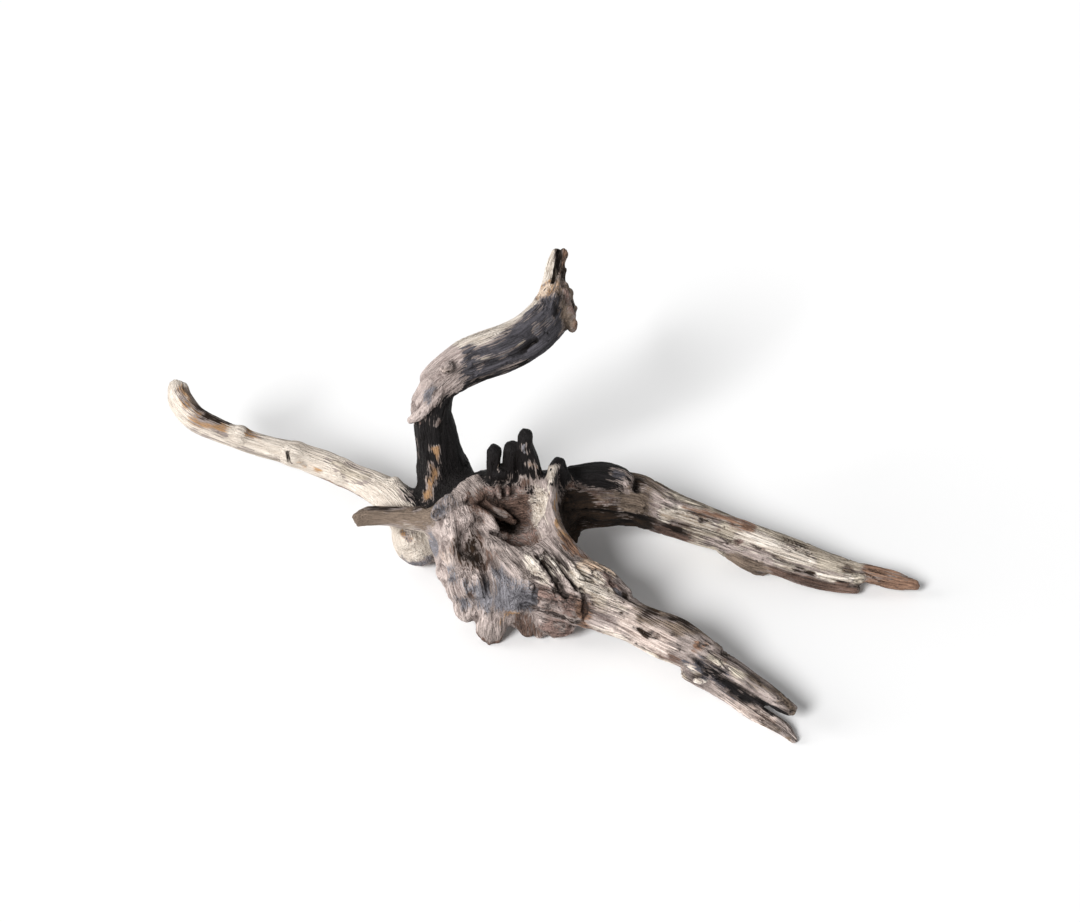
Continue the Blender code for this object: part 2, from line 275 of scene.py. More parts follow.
# %% Hollows
BOWL_AND_POCKET = [
    # the bowl, twice, and the pocket beside the fin
    (3, (-12, -3, 58, 20, 12, 23)),
    (3, (-10, -19, 54, 17, 9, 15)),
    (3, (30, -7, 30, 15, 17, 17)),
]
HOLLOWS = [
    # in the bowl and on the left shoulder
    (2, (-20, -3, 39, 6, 4, 3)),
    (2, (-12, -17, 42, 5, 4, 4)),
    (3, (-35, -26, 50, 8, 8, 9)),
    (2, (-30, -34, 45, 4, 5, 4)),
    # the spur's broken end and its holes
    (1, (-104, 8, 31, 4, 6, 3)),
    (1, (-98, 15, 39, 3, 3, 2)),
    (1, (-54, -7, 51, 3, 3, 3)),
    # the stump's left flank, and the waist of the cuff
    (3, (-66, -16, 30, 13, 14, 18)),
    (3, (-60, -34, 28, 13, 14, 18)),
    (2, (-71, 34, 108, 9, 14, 7)),
    # between the spur and the trunk, and behind the cuff's lip
    (2, (-59, 14, 44, 5, 6, 6)),
    (1, (-68, 29, 98, 3, 4, 2)),
    # the rotten side of the spike, and its blunt end
    (1, (19, 102, 134, 4, 6, 5)),
    (1, (18, 113, 136, 3, 5, 4)),
    (1, (13, 124, 139, 4, 3, 2)),
    # the left limb's blunt end
    (1, (-205, 99, 62, 5, 3, 5)),
    # small ones on the front and along the limbs
    (1, (11, -57, 25, 7, 5, 2)),
    (1, (149, -14, 14, 6, 3, 1)),
    (1, (56, 22, 48, 2, 4, 5)),
    (1, (-133, 51, 38, 2, 2, 2)),
    (1, (93, 12, 33, 2, 2, 2)),
]
print("hollows", len(BOWL_AND_POCKET) + len(HOLLOWS))

# %% Cracks
CRACKS = [
    # down the spike
    (1, UP, [(13, 124, 142, 1, 3), (13, 114, 139, 1.5, 4), (11, 104, 135, 1.2, 3),
             (9, 95, 133, 0.8, 2)]),
    # between the lobes and toes of the front
    (2, UP, [(-30, -30, 46, 2, 2), (-27, -44, 38, 2, 3), (-25, -52, 30, 2, 3),
             (-27, -56, 22, 1, 2)]),
    (1, UP, [(0, -50, 40, 1, 2), (-1, -56, 32, 2, 3), (1, -58, 22, 1, 3)]),
    (1, UP, [(24, -54, 41, 0.8, 1.5), (26, -62, 36, 1.2, 2), (24, -66, 26, 1.2, 2),
             (22, -62, 16, 1, 2)]),
    (1, UP, [(6, -58, 27, 2, 2), (13, -63, 25, 2, 3), (20, -64, 22, 2, 2)]),
    # the long one under the right prong
    (1, UP, [(20, 2, 46, 3, 1), (34, 9, 40, 4, 1.2), (47, 12, 36, 4, 1), (58, 13, 32, 3, 1),
             (69, 9, 30, 3, 0.8), (80, 9, 25, 2, 0.8)]),
    # the gap that splits the lower prong
    (1, UP, [(80, -89, 25, 2, 1), (92, -98, 19, 5, 3), (106, -107, 15, 5, 3.5),
             (120, -117, 12, 5, 3.5), (136, -128, 10, 5, 3.5)]),
    # between the ridges and the lower prong
    (1, UP, [(40, -49, 41, 1, 3), (46, -55, 39, 1, 3), (54, -60, 36, 1, 2)]),
    (1, UP, [(1, -36, 48, 0.8, 3), (9, -47, 44, 1, 4), (16, -58, 39, 1, 4)]),
    (1, UP, [(6, -32, 49, 0.8, 3), (14, -43, 45, 1, 4), (22, -55, 41, 0.8, 3)]),
    # across the left limb
    (1, UP, [(-141, 52, 38, 0.6, 2), (-142, 56, 44, 0.6, 2)]),
    # along the two prongs
    (1, UP, [(156, -17, 14, 3, 0.8), (174, -20, 10, 3, 0.8)]),
    (1, UP, [(60, 12, 38, 3, 0.8), (80, 8, 34, 3, 0.8), (100, 5, 28, 3, 0.7),
             (124, -4, 22, 3, 0.7)]),
    (1, UP, [(33, -65, 38, 0.8, 3), (48, -71, 35, 0.8, 3), (64, -79, 29, 0.8, 3)]),
    # along the branch
    (1, LEFT_UP, [(-34, 36, 122, 0.7, 3), (-16, 41, 123, 0.8, 3), (0, 53, 125, 0.8, 3)]),
    (1, LEFT_UP, [(-6, 48, 129, 0.8, 3), (6, 62, 131, 0.8, 3), (11, 78, 134, 1, 4),
                  (13, 92, 136, 0.8, 3)]),
]
print("cracks", len(CRACKS))

# %% [markdown]
# ## A grid of distances
#
# The grid covers the wood with a small margin. Its cells are small enough for a fold 2 mm wide.
# Metaballs could blend limbs too, but they can't be carved, and they have no control over how far
# two shapes melt. Every function below works on a *window* of the grid, just the cells near one
# shape, so that nothing is worked out where it can't matter.

# %% The grid
CELL = 0.8
FAR = 9.0  # distances are kept no further out than this
MARGIN = 8.0
corners = np.array(frame_box) / MM - TABLE_ZERO
GRID_LOW = corners[0] - MARGIN
GRID_SHAPE = np.ceil((corners[1] - corners[0] + 2 * MARGIN) / CELL).astype(int)
field = np.full(GRID_SHAPE, FAR, np.float32)


def window(low, high):
    """The slices of the grid between two corners, and the cell centres' x, y and z there."""
    start = np.clip(np.floor((low - GRID_LOW) / CELL).astype(int), 0, GRID_SHAPE)
    stop = np.clip(np.ceil((high - GRID_LOW) / CELL).astype(int) + 1, 0, GRID_SHAPE)
    axes = [GRID_LOW[i] + CELL * np.arange(start[i], stop[i], dtype=np.float32) for i in range(3)]
    slices = tuple(slice(a, b) for a, b in zip(start, stop))
    return slices, np.meshgrid(*axes, indexing="ij", sparse=True)


def melt(first, second, reach):
    """The nearer of two distances, rounded over where they are within reach of each other."""
    overlap = np.maximum(reach - np.abs(first - second), 0) / reach
    return np.minimum(first, second) - overlap * overlap * reach / 4


print("grid", tuple(GRID_SHAPE), "cells of", CELL, "mm")

# %% [markdown]
# ## Limbs and lumps as distances
#
# A limb is a chain of short oval tubes. For each piece of the chain, a cell's offset from the
# middle is measured across and up the limb and divided by the oval's half sizes. The same walk
# along a limb serves later to find where a point of the surface lies on it, so it returns that
# place too.

# %% A smooth curve through the stations
LIMB_STEP = 3.0


def smooth_path(stations):
    """A Catmull-Rom curve through the stations, with a row about every LIMB_STEP."""
    rows = np.array(stations, float)
    rows = np.vstack([2 * rows[0] - rows[1], rows, 2 * rows[-1] - rows[-2]])
    made = []
    for before, start, end, after in zip(rows, rows[1:], rows[2:], rows[3:]):
        count = max(1, round(np.linalg.norm((end - start)[:3]) / LIMB_STEP))
        for t in np.arange(count) / count:
            made.append(0.5 * (2 * start + (end - before) * t
                               + (2 * before - 5 * start + 4 * end - after) * t**2
                               + (3 * start - before - 3 * end + after) * t**3))
    made.append(rows[-2])
    return np.array(made)


print("rows along the left limb", len(smooth_path(LEFT_SIDE[0][2])))


# %% Distance to an egg and to one tube
def unit(vectors):
    return vectors / np.linalg.norm(vectors, axis=-1, keepdims=True)


def oval_distance(x, y, z, half):
    """About how far a point is outside an oval with these half sizes."""
    scaled = np.sqrt((x / half[0])**2 + (y / half[1])**2 + (z / half[2])**2)
    steep = np.sqrt((x / half[0]**2)**2 + (y / half[1]**2)**2 + (z / half[2]**2)**2)
    return scaled * (scaled - 1) / np.maximum(steep, 1e-6)


def pieces_of(upward, stations):
    """The short tubes of a limb: both ends, the frame at both ends, and the length before it."""
    rows = smooth_path(stations)
    sides = unit(np.cross(np.gradient(rows[:, :3], axis=0), upward))
    run = 0
    for start, end, side, next_side in zip(rows, rows[1:], sides, sides[1:]):
        yield start, end, side, next_side, run
        run += np.linalg.norm((end - start)[:3])


def measure(x, y, z, piece):
    """The distance to one tube, and the place on the limb: across it, above it, along it."""
    start, end, side, next_side, run = piece
    along = end[:3] - start[:3]
    length = np.linalg.norm(along)
    along = along / length
    x, y, z = x - start[0], y - start[1], z - start[2]
    t = np.clip((x * along[0] + y * along[1] + z * along[2]) / length, 0, 1)
    x, y, z = x - along[0] * t * length, y - along[1] * t * length, z - along[2] * t * length
    sides = [side[i] + (next_side[i] - side[i]) * t for i in range(3)]
    tops = [sides[1] * along[2] - sides[2] * along[1], sides[2] * along[0] - sides[0] * along[2],
            sides[0] * along[1] - sides[1] * along[0]]
    across = x * sides[0] + y * sides[1] + z * sides[2]
    above = x * tops[0] + y * tops[1] + z * tops[2]
    beyond = x * along[0] + y * along[1] + z * along[2]
    half = [start[3] + (end[3] - start[3]) * t, start[4] + (end[4] - start[4]) * t]
    distance = oval_distance(across, above, beyond, [*half, np.minimum(*half)])
    return distance, (across, above, run + t * length + beyond)


# %% Distance to a whole limb and to a lump
def limb_distance(upward, stations):
    """The window of the grid round a limb, and the distances in it."""
    rows = smooth_path(stations)
    reach = rows[:, 3:].max() + FAR
    slices, _ = window(rows[:, :3].min(0) - reach, rows[:, :3].max(0) + reach)
    distance = np.full([s.stop - s.start for s in slices], FAR, np.float32)
    for piece in pieces_of(upward, stations):
        start, end = piece[:2]
        reach = max(start[3:].max(), end[3:].max()) + FAR
        near, (x, y, z) = window(np.minimum(start, end)[:3] - reach,
                                 np.maximum(start, end)[:3] + reach)
        local = tuple(slice(n.start - s.start, n.stop - s.start) for n, s in zip(near, slices))
        distance[local] = np.minimum(distance[local], measure(x, y, z, piece)[0])
    return slices, distance


def lump_distance(lump):
    centre, half = np.array(lump[:3], float), np.array(lump[3:], float)
    slices, (x, y, z) = window(centre - half - FAR, centre + half + FAR)
    return slices, oval_distance(x - centre[0], y - centre[1], z - centre[2], half)


# %% [markdown]
# ## Build up, then carve
#
# Adding a shape keeps the smaller of two distances, and carving is the same with the signs turned
# round. The order matters: limbs and lumps make the body, the bowl and the pocket open it, folds
# lie on what is left, and small hollows and cracks come last.


# %% Fill the grid
def grow(reach, slices, distance):
    field[slices] = melt(field[slices], distance, reach)


def carve(reach, slices, distance):
    field[slices] = -melt(-field[slices], distance, reach)


for reach, upward, stations in LIMBS:
    grow(reach, *limb_distance(upward, stations))
for reach, lump in LUMPS:
    grow(reach, *lump_distance(lump))
for reach, hollow in BOWL_AND_POCKET:
    carve(reach, *lump_distance(hollow))
for reach, upward, stations in FOLDS:
    grow(reach, *limb_distance(upward, stations))
for reach, hollow in HOLLOWS:
    carve(reach, *lump_distance(hollow))
for reach, upward, stations in CRACKS:
    carve(reach, *limb_distance(upward, stations))
print("limbs", len(LIMBS), "wood in", int((field < 0).sum()), "cells")

# %% [markdown]
# ## From the grid to a mesh
#
# OpenVDB, which Blender's volumes are made of, draws a closed skin of four-sided faces where the
# distance is nought, with every face pointing outwards. The field is cut off flat at the floor
# first, so the wood rests on flat feet.

# %% Mesh from the field
below_floor = -(GRID_LOW[2] + CELL * np.arange(GRID_SHAPE[2], dtype=np.float32))
field = np.clip(np.maximum(field, below_floor[None, None, :]), -FAR, FAR)
grid = openvdb.FloatGrid(FAR)
grid.copyFromArray(field)
points, quads = grid.convertToQuads()
points = (points * CELL + GRID_LOW + TABLE_ZERO) * MM
print("points", len(points), "quads", len(quads))

mesh = bpy.data.meshes.new("driftwood_wood")
mesh.from_pydata(points.tolist(), [], quads.tolist())
wood = bpy.data.objects.new("driftwood_wood", mesh)
bpy.context.collection.objects.link(wood)

# %% [markdown]
# ## Which way the grain runs
#
# Wood splits, weathers and streaks along its grain, so every pattern below is drawn in the wood's
# own directions: across a limb, above it and along it. A UV map could hold them, but limbs that
# melt into each other can't be unwrapped without seams. A point in a fork lies on two limbs at
# once, so the two nearest are kept with a blend between them. The stump has no limb of its own on
# top, so guides run over it the way its fibres flow.
#
# Of the two numbers of each group, the first says how deeply the weather has cut: little on the
# limb that the sea polished, a lot on the two split prongs. The second says how knotty the wood is,
# which makes its fibres shorter.

# %% Grain of the limbs
GUIDES = [
    (1, UP, [(-46, -4, 46, 8, 8), (-43, -24, 40, 8, 8), (-40, -36, 30, 8, 8),
             (-38, -40, 16, 8, 8)]),
    (1, UP, [(-36, -6, 46, 8, 8), (-29, -27, 43, 8, 8), (-24, -40, 34, 8, 8),
             (-22, -45, 18, 8, 8)]),
    (1, UP, [(-26, -12, 44, 8, 8), (-14, -30, 42, 8, 8), (-6, -40, 34, 8, 8),
             (-6, -44, 18, 8, 8)]),
    (1, UP, [(-12, -18, 41, 8, 8), (2, -30, 42, 8, 8), (12, -44, 38, 8, 8), (18, -54, 30, 8, 8)]),
    (1, UP, [(-36, 10, 50, 7, 7), (-26, 0, 46, 7, 7), (-14, -3, 42, 7, 7), (-2, -6, 41, 7, 7)]),
]
WEATHER = [(LEFT_SIDE, 0.4, 1.0), (TRUNK_AND_BRANCH, 0.7, 1.0), (FINGERS, 0.6, 1.0),
           (FIN, 0.7, 1.2), (RIGHT_SIDE, 1.0, 0.8), (LOWER_SIDE, 1.1, 0.8), (TOES, 0.8, 2.0),
           (GUIDES, 0.8, 2.4)]
GRAIN_LIMBS = [(limb, cut, knotty) for group, cut, knotty in WEATHER for limb in group]
DEPTH_OF_CUT = np.array([cut for _, cut, _ in GRAIN_LIMBS])
GRAIN_REACH = 30.0  # a limb's grain goes no further than this from its surface
SHARE_WIDTH = 2.0  # how wide the blend from one limb's grain to the next is
PATTERN_STEP = 37.0  # added along each next limb, so that no two limbs share a pattern


def points_of(mesh):
    """The mesh's points in table millimetres."""
    points = np.empty(len(mesh.vertices) * 3, np.float32)
    mesh.vertices.foreach_get("co", points)
    return points.reshape(-1, 3) / MM - TABLE_ZERO


def grain_of(points):
    """For every limb and point: how near the limb is, and where on the limb the point lies."""
    nearness = np.full((len(GRAIN_LIMBS), len(points)), GRAIN_REACH, np.float32)
    place = np.zeros((len(GRAIN_LIMBS), len(points), 3), np.float32)
    for number, ((_, upward, stations), _, knotty) in enumerate(GRAIN_LIMBS):
        rows = np.array(stations, float)
        reach = rows[:, 3:].max() + GRAIN_REACH / 2
        low, high = rows[:, :3].min(0) - reach, rows[:, :3].max(0) + reach
        inside = np.flatnonzero(((points > low) & (points < high)).all(1))
        near_points = points[inside]
        for piece in pieces_of(upward, stations):
            low, high = np.minimum(*piece[:2])[:3] - reach, np.maximum(*piece[:2])[:3] + reach
            local = np.flatnonzero(((near_points > low) & (near_points < high)).all(1))
            distance, spot = measure(*near_points[local].T, piece)
            nearer = distance < nearness[number, inside[local]]
            chosen = inside[local[nearer]]
            nearness[number, chosen] = distance[nearer]
            place[number, chosen] = np.stack(spot, 1)[nearer]
        place[number, :, 2] = place[number, :, 2] * knotty + PATTERN_STEP * number
    return nearness, place


def store(mesh, name, values, domain):
    """Keeps one value for each point, or for each corner of a face, as an attribute."""
    kind, key = ("FLOAT_VECTOR", "vector") if values.ndim == 2 else ("FLOAT", "value")
    layer = mesh.attributes.new(name, kind, domain)
    layer.data.foreach_set(key, np.ascontiguousarray(values, np.float32).ravel())


# %% Store the grain on the points
nearness, place = grain_of(points_of(mesh))
order = np.argsort(nearness, 0)[:2]
every = np.arange(nearness.shape[1])
share = np.exp(-nearness / SHARE_WIDTH)
weight = share[order, every]
store(mesh, "grain_near", place[order[0], every] * MM, "POINT")
store(mesh, "grain_next", place[order[1], every] * MM, "POINT")
store(mesh, "grain_blend", weight[1] / weight.sum(0), "POINT")
store(mesh, "cut", (share * DEPTH_OF_CUT[:, None]).sum(0) / share.sum(0), "POINT")
print("grain from", len(GRAIN_LIMBS), "limbs and guides")

# %% [markdown]
# ## Nodes by one helper
#
# The weathering and the wood's finish are both node trees. One helper adds any node with its
# settings and its links. Three more put together what both trees need: noise stretched along the
# grain, a weighted sum, and cracks, which lie where a noise crosses its middle value. Drawn that
# way, a crack is a line that wanders, thins out and ends, as it does in wood.


# %% Helpers for nodes
def add(tree, kind, inputs=(), **settings):
    """Adds a node. Inputs gives, by socket, a value to set or another node's output to link."""
    node = tree.nodes.new(kind)
    for name, value in settings.items():
        setattr(node, name, value)
    for socket, value in dict(inputs).items():
        if isinstance(value, bpy.types.NodeSocket):
            tree.links.new(value, node.inputs[socket])
        else:
            node.inputs[socket].default_value = value
    return node


def grain_noise(tree, source, width, length, detail):
    """Noise on both limbs' own coordinates, blended. Sizes are in millimetres."""
    near, following, blend = source
    size = (1 / (width * MM), 1 / (width * MM), 1 / (length * MM))
    made = []
    for grain_place in (near, following):
        scaled = add(tree, "ShaderNodeVectorMath", {0: grain_place, 1: size}, operation="MULTIPLY")
        made.append(add(tree, "ShaderNodeTexNoise", {"Vector": scaled.outputs[0], "Scale": 1.0,
                                                     "Detail": detail}).outputs[0])
    return add(tree, "ShaderNodeMix", {"Factor": blend, "A": made[0], "B": made[1]}).outputs[0]


def total(tree, *parts, start=0.0):
    """The sum of parts, each an output and how much of it to take."""
    result = start
    for value, amount in parts:
        result = add(tree, "ShaderNodeMath", {0: value, 1: amount, 2: result},
                     operation="MULTIPLY_ADD").outputs[0]
    return result


def crack_lines(tree, noise, band, depth):
    """The depth given, on lines where the noise crosses its middle, and nought beside them."""
    off_middle = add(tree, "ShaderNodeMath", {0: noise, 1: 0.5}, operation="SUBTRACT").outputs[0]
    off_middle = add(tree, "ShaderNodeMath", {0: off_middle}, operation="ABSOLUTE").outputs[0]
    return add(tree, "ShaderNodeMapRange", {"Value": off_middle, "From Max": band, "To Min": depth,
                                            "To Max": 0.0}).outputs[0]


# %% [markdown]
# ## Weathering with Geometry Nodes
#
# Rain and salt wash the soft wood out of the grain and leave the hard ridges. That follows a rule,
# so Geometry Nodes do it: noise, stretched along the grain, moves each point in or out along its
# normal. Broad flutes, grain and long drying cracks are added up, and small holes, as worms and
# grit leave, are scattered with a fixed seed. Sculpting this by hand would take days and could not
# be changed by a number. The flutes, the grain and the cracks are drawn again by the material, so
# their sizes are kept: the width and length of a streak in millimetres, and the noise's detail.

# %% The weathering tree and its inputs
FLUTES, GRAIN, CRACK = (7.0, 55.0, 2.0), (2.4, 26.0, 2.0), (6.0, 70.0, 1.0)
CRACK_BAND = 0.02  # how near its middle value the crack's noise has to be
PATCHES_PER_METRE = 45.0  # cracks open only in patches, about 22 mm across
SHUT_BELOW, OPEN_ABOVE = 0.47, 0.58  # of the noise that makes those patches
weathering = bpy.data.node_groups.new("weathering", "GeometryNodeTree")
panel = weathering.interface
panel.new_socket("Wood", in_out="INPUT", socket_type="NodeSocketGeometry")
for name, value in [("Flute height", 0.0010), ("Grain height", 0.0006), ("Crack depth", 0.0012),
                    ("Hole radius", 0.0011), ("Hole depth", 0.0012),
                    ("Holes per square metre", 5500.0)]:
    panel.new_socket(name, in_out="INPUT", socket_type="NodeSocketFloat").default_value = value
panel.new_socket("Seed", in_out="INPUT", socket_type="NodeSocketInt").default_value = 7
panel.new_socket("Finish", in_out="INPUT", socket_type="NodeSocketMaterial")
panel.new_socket("Wood", in_out="OUTPUT", socket_type="NodeSocketGeometry")
given = add(weathering, "NodeGroupInput").outputs
print("inputs", [item.name for item in panel.items_tree if item.in_out == "INPUT"])

# %% Flutes, grain and cracks
near, following = [add(weathering, "GeometryNodeInputNamedAttribute", {"Name": name},
                       data_type="FLOAT_VECTOR").outputs[0]
                   for name in ("grain_near", "grain_next")]
blend, cut = [add(weathering, "GeometryNodeInputNamedAttribute", {"Name": name},
                  data_type="FLOAT").outputs[0] for name in ("grain_blend", "cut")]
source = (near, following, blend)
flute_height, grain_height = [
    add(weathering, "ShaderNodeMapRange",
        {"Value": grain_noise(weathering, source, *sizes), "From Min": 0.3, "From Max": 0.7,
         "To Min": -1.0, "To Max": 1.0}).outputs[0] for sizes in (FLUTES, GRAIN)]
where = add(weathering, "GeometryNodeInputPosition").outputs[0]
patches = add(weathering, "ShaderNodeTexNoise",
              {"Vector": where, "Scale": PATCHES_PER_METRE, "Detail": 0.0}).outputs[0]
open_here = add(weathering, "ShaderNodeMapRange",
                {"Value": patches, "From Min": SHUT_BELOW, "From Max": OPEN_ABOVE,
                 "To Max": -1.0}).outputs[0]
crack_height = crack_lines(weathering, grain_noise(weathering, source, *CRACK), CRACK_BAND,
                           open_here)
relief = total(weathering, (flute_height, given["Flute height"]),
               (grain_height, given["Grain height"]), (crack_height, given["Crack depth"]))
relief = add(weathering, "ShaderNodeMath", {0: relief, 1: cut}, operation="MULTIPLY").outputs[0]

# %% Worm holes
holes = add(weathering, "GeometryNodeDistributePointsOnFaces",
            {"Mesh": given["Wood"], "Density": given["Holes per square metre"],
             "Seed": given["Seed"]})
to_hole = add(weathering, "GeometryNodeProximity", {0: holes.outputs["Points"]},
              target_element="POINTS")
hole_height = add(weathering, "ShaderNodeMapRange",
                  {"Value": to_hole.outputs["Distance"], "From Max": given["Hole radius"],
                   "To Min": -1.0, "To Max": 0.0}, interpolation_type="SMOOTHSTEP").outputs[0]
hole_height = add(weathering, "ShaderNodeMath", {0: hole_height, 1: given["Hole depth"]},
                  operation="MULTIPLY").outputs[0]
relief = total(weathering, (hole_height, cut), start=relief)

# %% Move the points and hand the wood on
normal = add(weathering, "GeometryNodeInputNormal").outputs[0]
shift = add(weathering, "ShaderNodeVectorMath", {0: normal, "Scale": relief}, operation="SCALE")
moved = add(weathering, "GeometryNodeSetPosition",
            {"Geometry": given["Wood"], "Offset": shift.outputs[0]})
whole = add(weathering, "GeometryNodeRealizeInstances", {"Geometry": moved.outputs[0]})
finished = add(weathering, "GeometryNodeSetMaterial",
               {"Geometry": whole.outputs[0], "Material": given["Finish"]})
add(weathering, "NodeGroupOutput", {0: finished.outputs[0]})
print("weathering nodes", len(weathering.nodes))

# %% [markdown]
# ## From modifiers to a plain mesh
#
# The weathering runs as a modifier, and Decimate then spends the faces where the cracks are and
# saves them where the wood is smooth. The evaluated result becomes a plain mesh, so that nothing is
# left live on the piece. A point that the relief pushed through the floor goes back up to it.

# %% Weather the wood and thin it
KEPT_FACES = 0.52
driftwood = bpy.data.materials.new("weathered_wood")
modifier = wood.modifiers.new("weathering", "NODES")
modifier.node_group = weathering
sockets = {item.name: item.identifier for item in panel.items_tree if item.in_out == "INPUT"}
modifier[sockets["Finish"]] = driftwood
thinner = wood.modifiers.new("thinner", "DECIMATE")
thinner.ratio = KEPT_FACES
graph = bpy.context.evaluated_depsgraph_get()
mesh = bpy.data.meshes.new_from_object(wood.evaluated_get(graph), depsgraph=graph)
wood.modifiers.clear()
wood.data = mesh
mesh.name = "driftwood_wood"
for name in ("grain_near", "grain_next", "grain_blend", "cut"):
    mesh.attributes.remove(mesh.attributes[name])
mesh.shade_smooth()
points = points_of(mesh)
points[:, 2] = np.maximum(points[:, 2], 0)
mesh.vertices.foreach_set("co", ((points + TABLE_ZERO) * MM).astype(np.float32).ravel())
mesh.update()
print("faces", len(mesh.polygons), "points", len(mesh.vertices))

# %% [markdown]
# ## Grain coordinates for the material
#
# The material needs the same grain, on the finished mesh. A face may lie where the nearest limb
# changes, and a value that is smeared from one limb's numbers to another's would show as a swirl.
# So these are stored on face corners: all corners of a face use the same two limbs.

# %% Grain on the corners of each face
nearness, place = grain_of(points)
share = np.exp(-nearness / SHARE_WIDTH)
corner_point = np.empty(len(mesh.loops), np.int32)
mesh.loops.foreach_get("vertex_index", corner_point)
corners_each = np.empty(len(mesh.polygons), np.int32)
mesh.polygons.foreach_get("loop_total", corners_each)
first_corner = np.concatenate([[0], np.cumsum(corners_each)[:-1]])
face_share = np.add.reduceat(share[:, corner_point], first_corner, axis=1)
two = np.argsort(-face_share, 0)[:2].repeat(corners_each, axis=1)
weight = share[two, corner_point]
store(mesh, "grain_first", place[two[0], corner_point] * MM, "CORNER")
store(mesh, "grain_second", place[two[1], corner_point] * MM, "CORNER")
store(mesh, "grain_mix", weight[1] / np.maximum(weight.sum(0), 1e-9), "CORNER")
store(mesh, "cut", (share * DEPTH_OF_CUT[:, None]).sum(0) / share.sum(0), "POINT")
print("corners", len(corner_point))

# %% [markdown]
# ## Creases
#
# Creases get painted shade, the darkening where less light reaches, and edges are worn pale. A
# shader could measure the creases with an occlusion node, but it is slow and the export would have
# to bake it. The grid of distances tells which is which: a short step out from a crease is still
# near the wood, and a short step in from an edge is still near the air.

# %% Creases and edges from the grid
PROBE = 3.0  # the length of that step
normals = np.empty(len(points) * 3, np.float32)
mesh.vertices.foreach_get("normal", normals)
normals = normals.reshape(-1, 3)


def field_at(spots):
    """The grid's value at these points, blended from the eight cells round each."""
    cells = np.clip((spots - GRID_LOW) / CELL, 0, GRID_SHAPE - 2)
    base = cells.astype(int)
    part = cells - base
    blended = 0
    for corner in np.ndindex(2, 2, 2):
        share_of_cell = np.prod(np.where(corner, part, 1 - part), axis=1)
        blended = blended + share_of_cell * field[tuple((base + corner).T)]
    return blended


crease = 1 - field_at(points + normals * PROBE) / PROBE
edge = 1 + field_at(points - normals * PROBE) / PROBE
store(mesh, "crease", np.clip(crease, 0, 1), "POINT")
store(mesh, "edge", np.clip(edge, 0, 1), "POINT")
print("crease", round(float(crease.mean()), 3), "edge", round(float(edge.mean()), 3))

# %% [markdown]
# ## The finishes of one piece of wood
#
# It is all wood, but the sea, fire and rot have left many finishes on it. Each is a pair of
# colours, the dark of its grain and the light of it. They lie over each other in this order. The
# rot and tar finish is partly painted shade: it also darkens hollows, cracks and the pocket beside
# the fin, where shade falls.

# %% Finishes
FINISHES = {
    "weathered": ("#5c504b", "#c9bab3"),  # bare wood, years in the rain
    "ash": ("#7a6964", "#e0d0c9"),  # the same, drier and paler
    "straw": ("#827262", "#e6dac8"),  # yellowed by the sun
    "bleached": ("#a99580", "#fdf3e7"),  # polished and bleached by the sea
    "blush": ("#8f786c", "#f0dfd5"),  # bleached, with a pink cast
    "fresh": ("#c39f82", "#f8e5d1"),  # newly broken, not weathered yet
    "russet": ("#5c4438", "#a8856f"),  # heartwood
    "umber": ("#32241e", "#866d61"),  # damp heartwood
    "rust": ("#4c372f", "#a68c83"),  # iron-stained, with a violet cast
    "tan": ("#7a5838", "#d0a67c"),  # sapwood where the bark tore off
    "brown": ("#43372f", "#9a8878"),  # old bark
    "slate": ("#3d3b40", "#9a979c"),  # blue-grey mould stain
    "stain_and_shade": ("#0f0a07", "#38291d"),  # rot and old tar, and painted shade, in hollows and cracks
    "soot": ("#0b0b0e", "#68656b"),  # scorched, and rubbed grey
    "charred": ("#040303", "#1a1617"),  # burnt through
}
print("finishes", len(FINISHES))

# %% [markdown]
# ## Strokes of the brush
#
# Each stroke is a finish, the brush's radius and a path on the surface, and it paints what lies
# within the brush. A later stroke covers an earlier one. Big ones come first, as on a painting.
# A painted image would need a UV map, and these strokes need only the points.

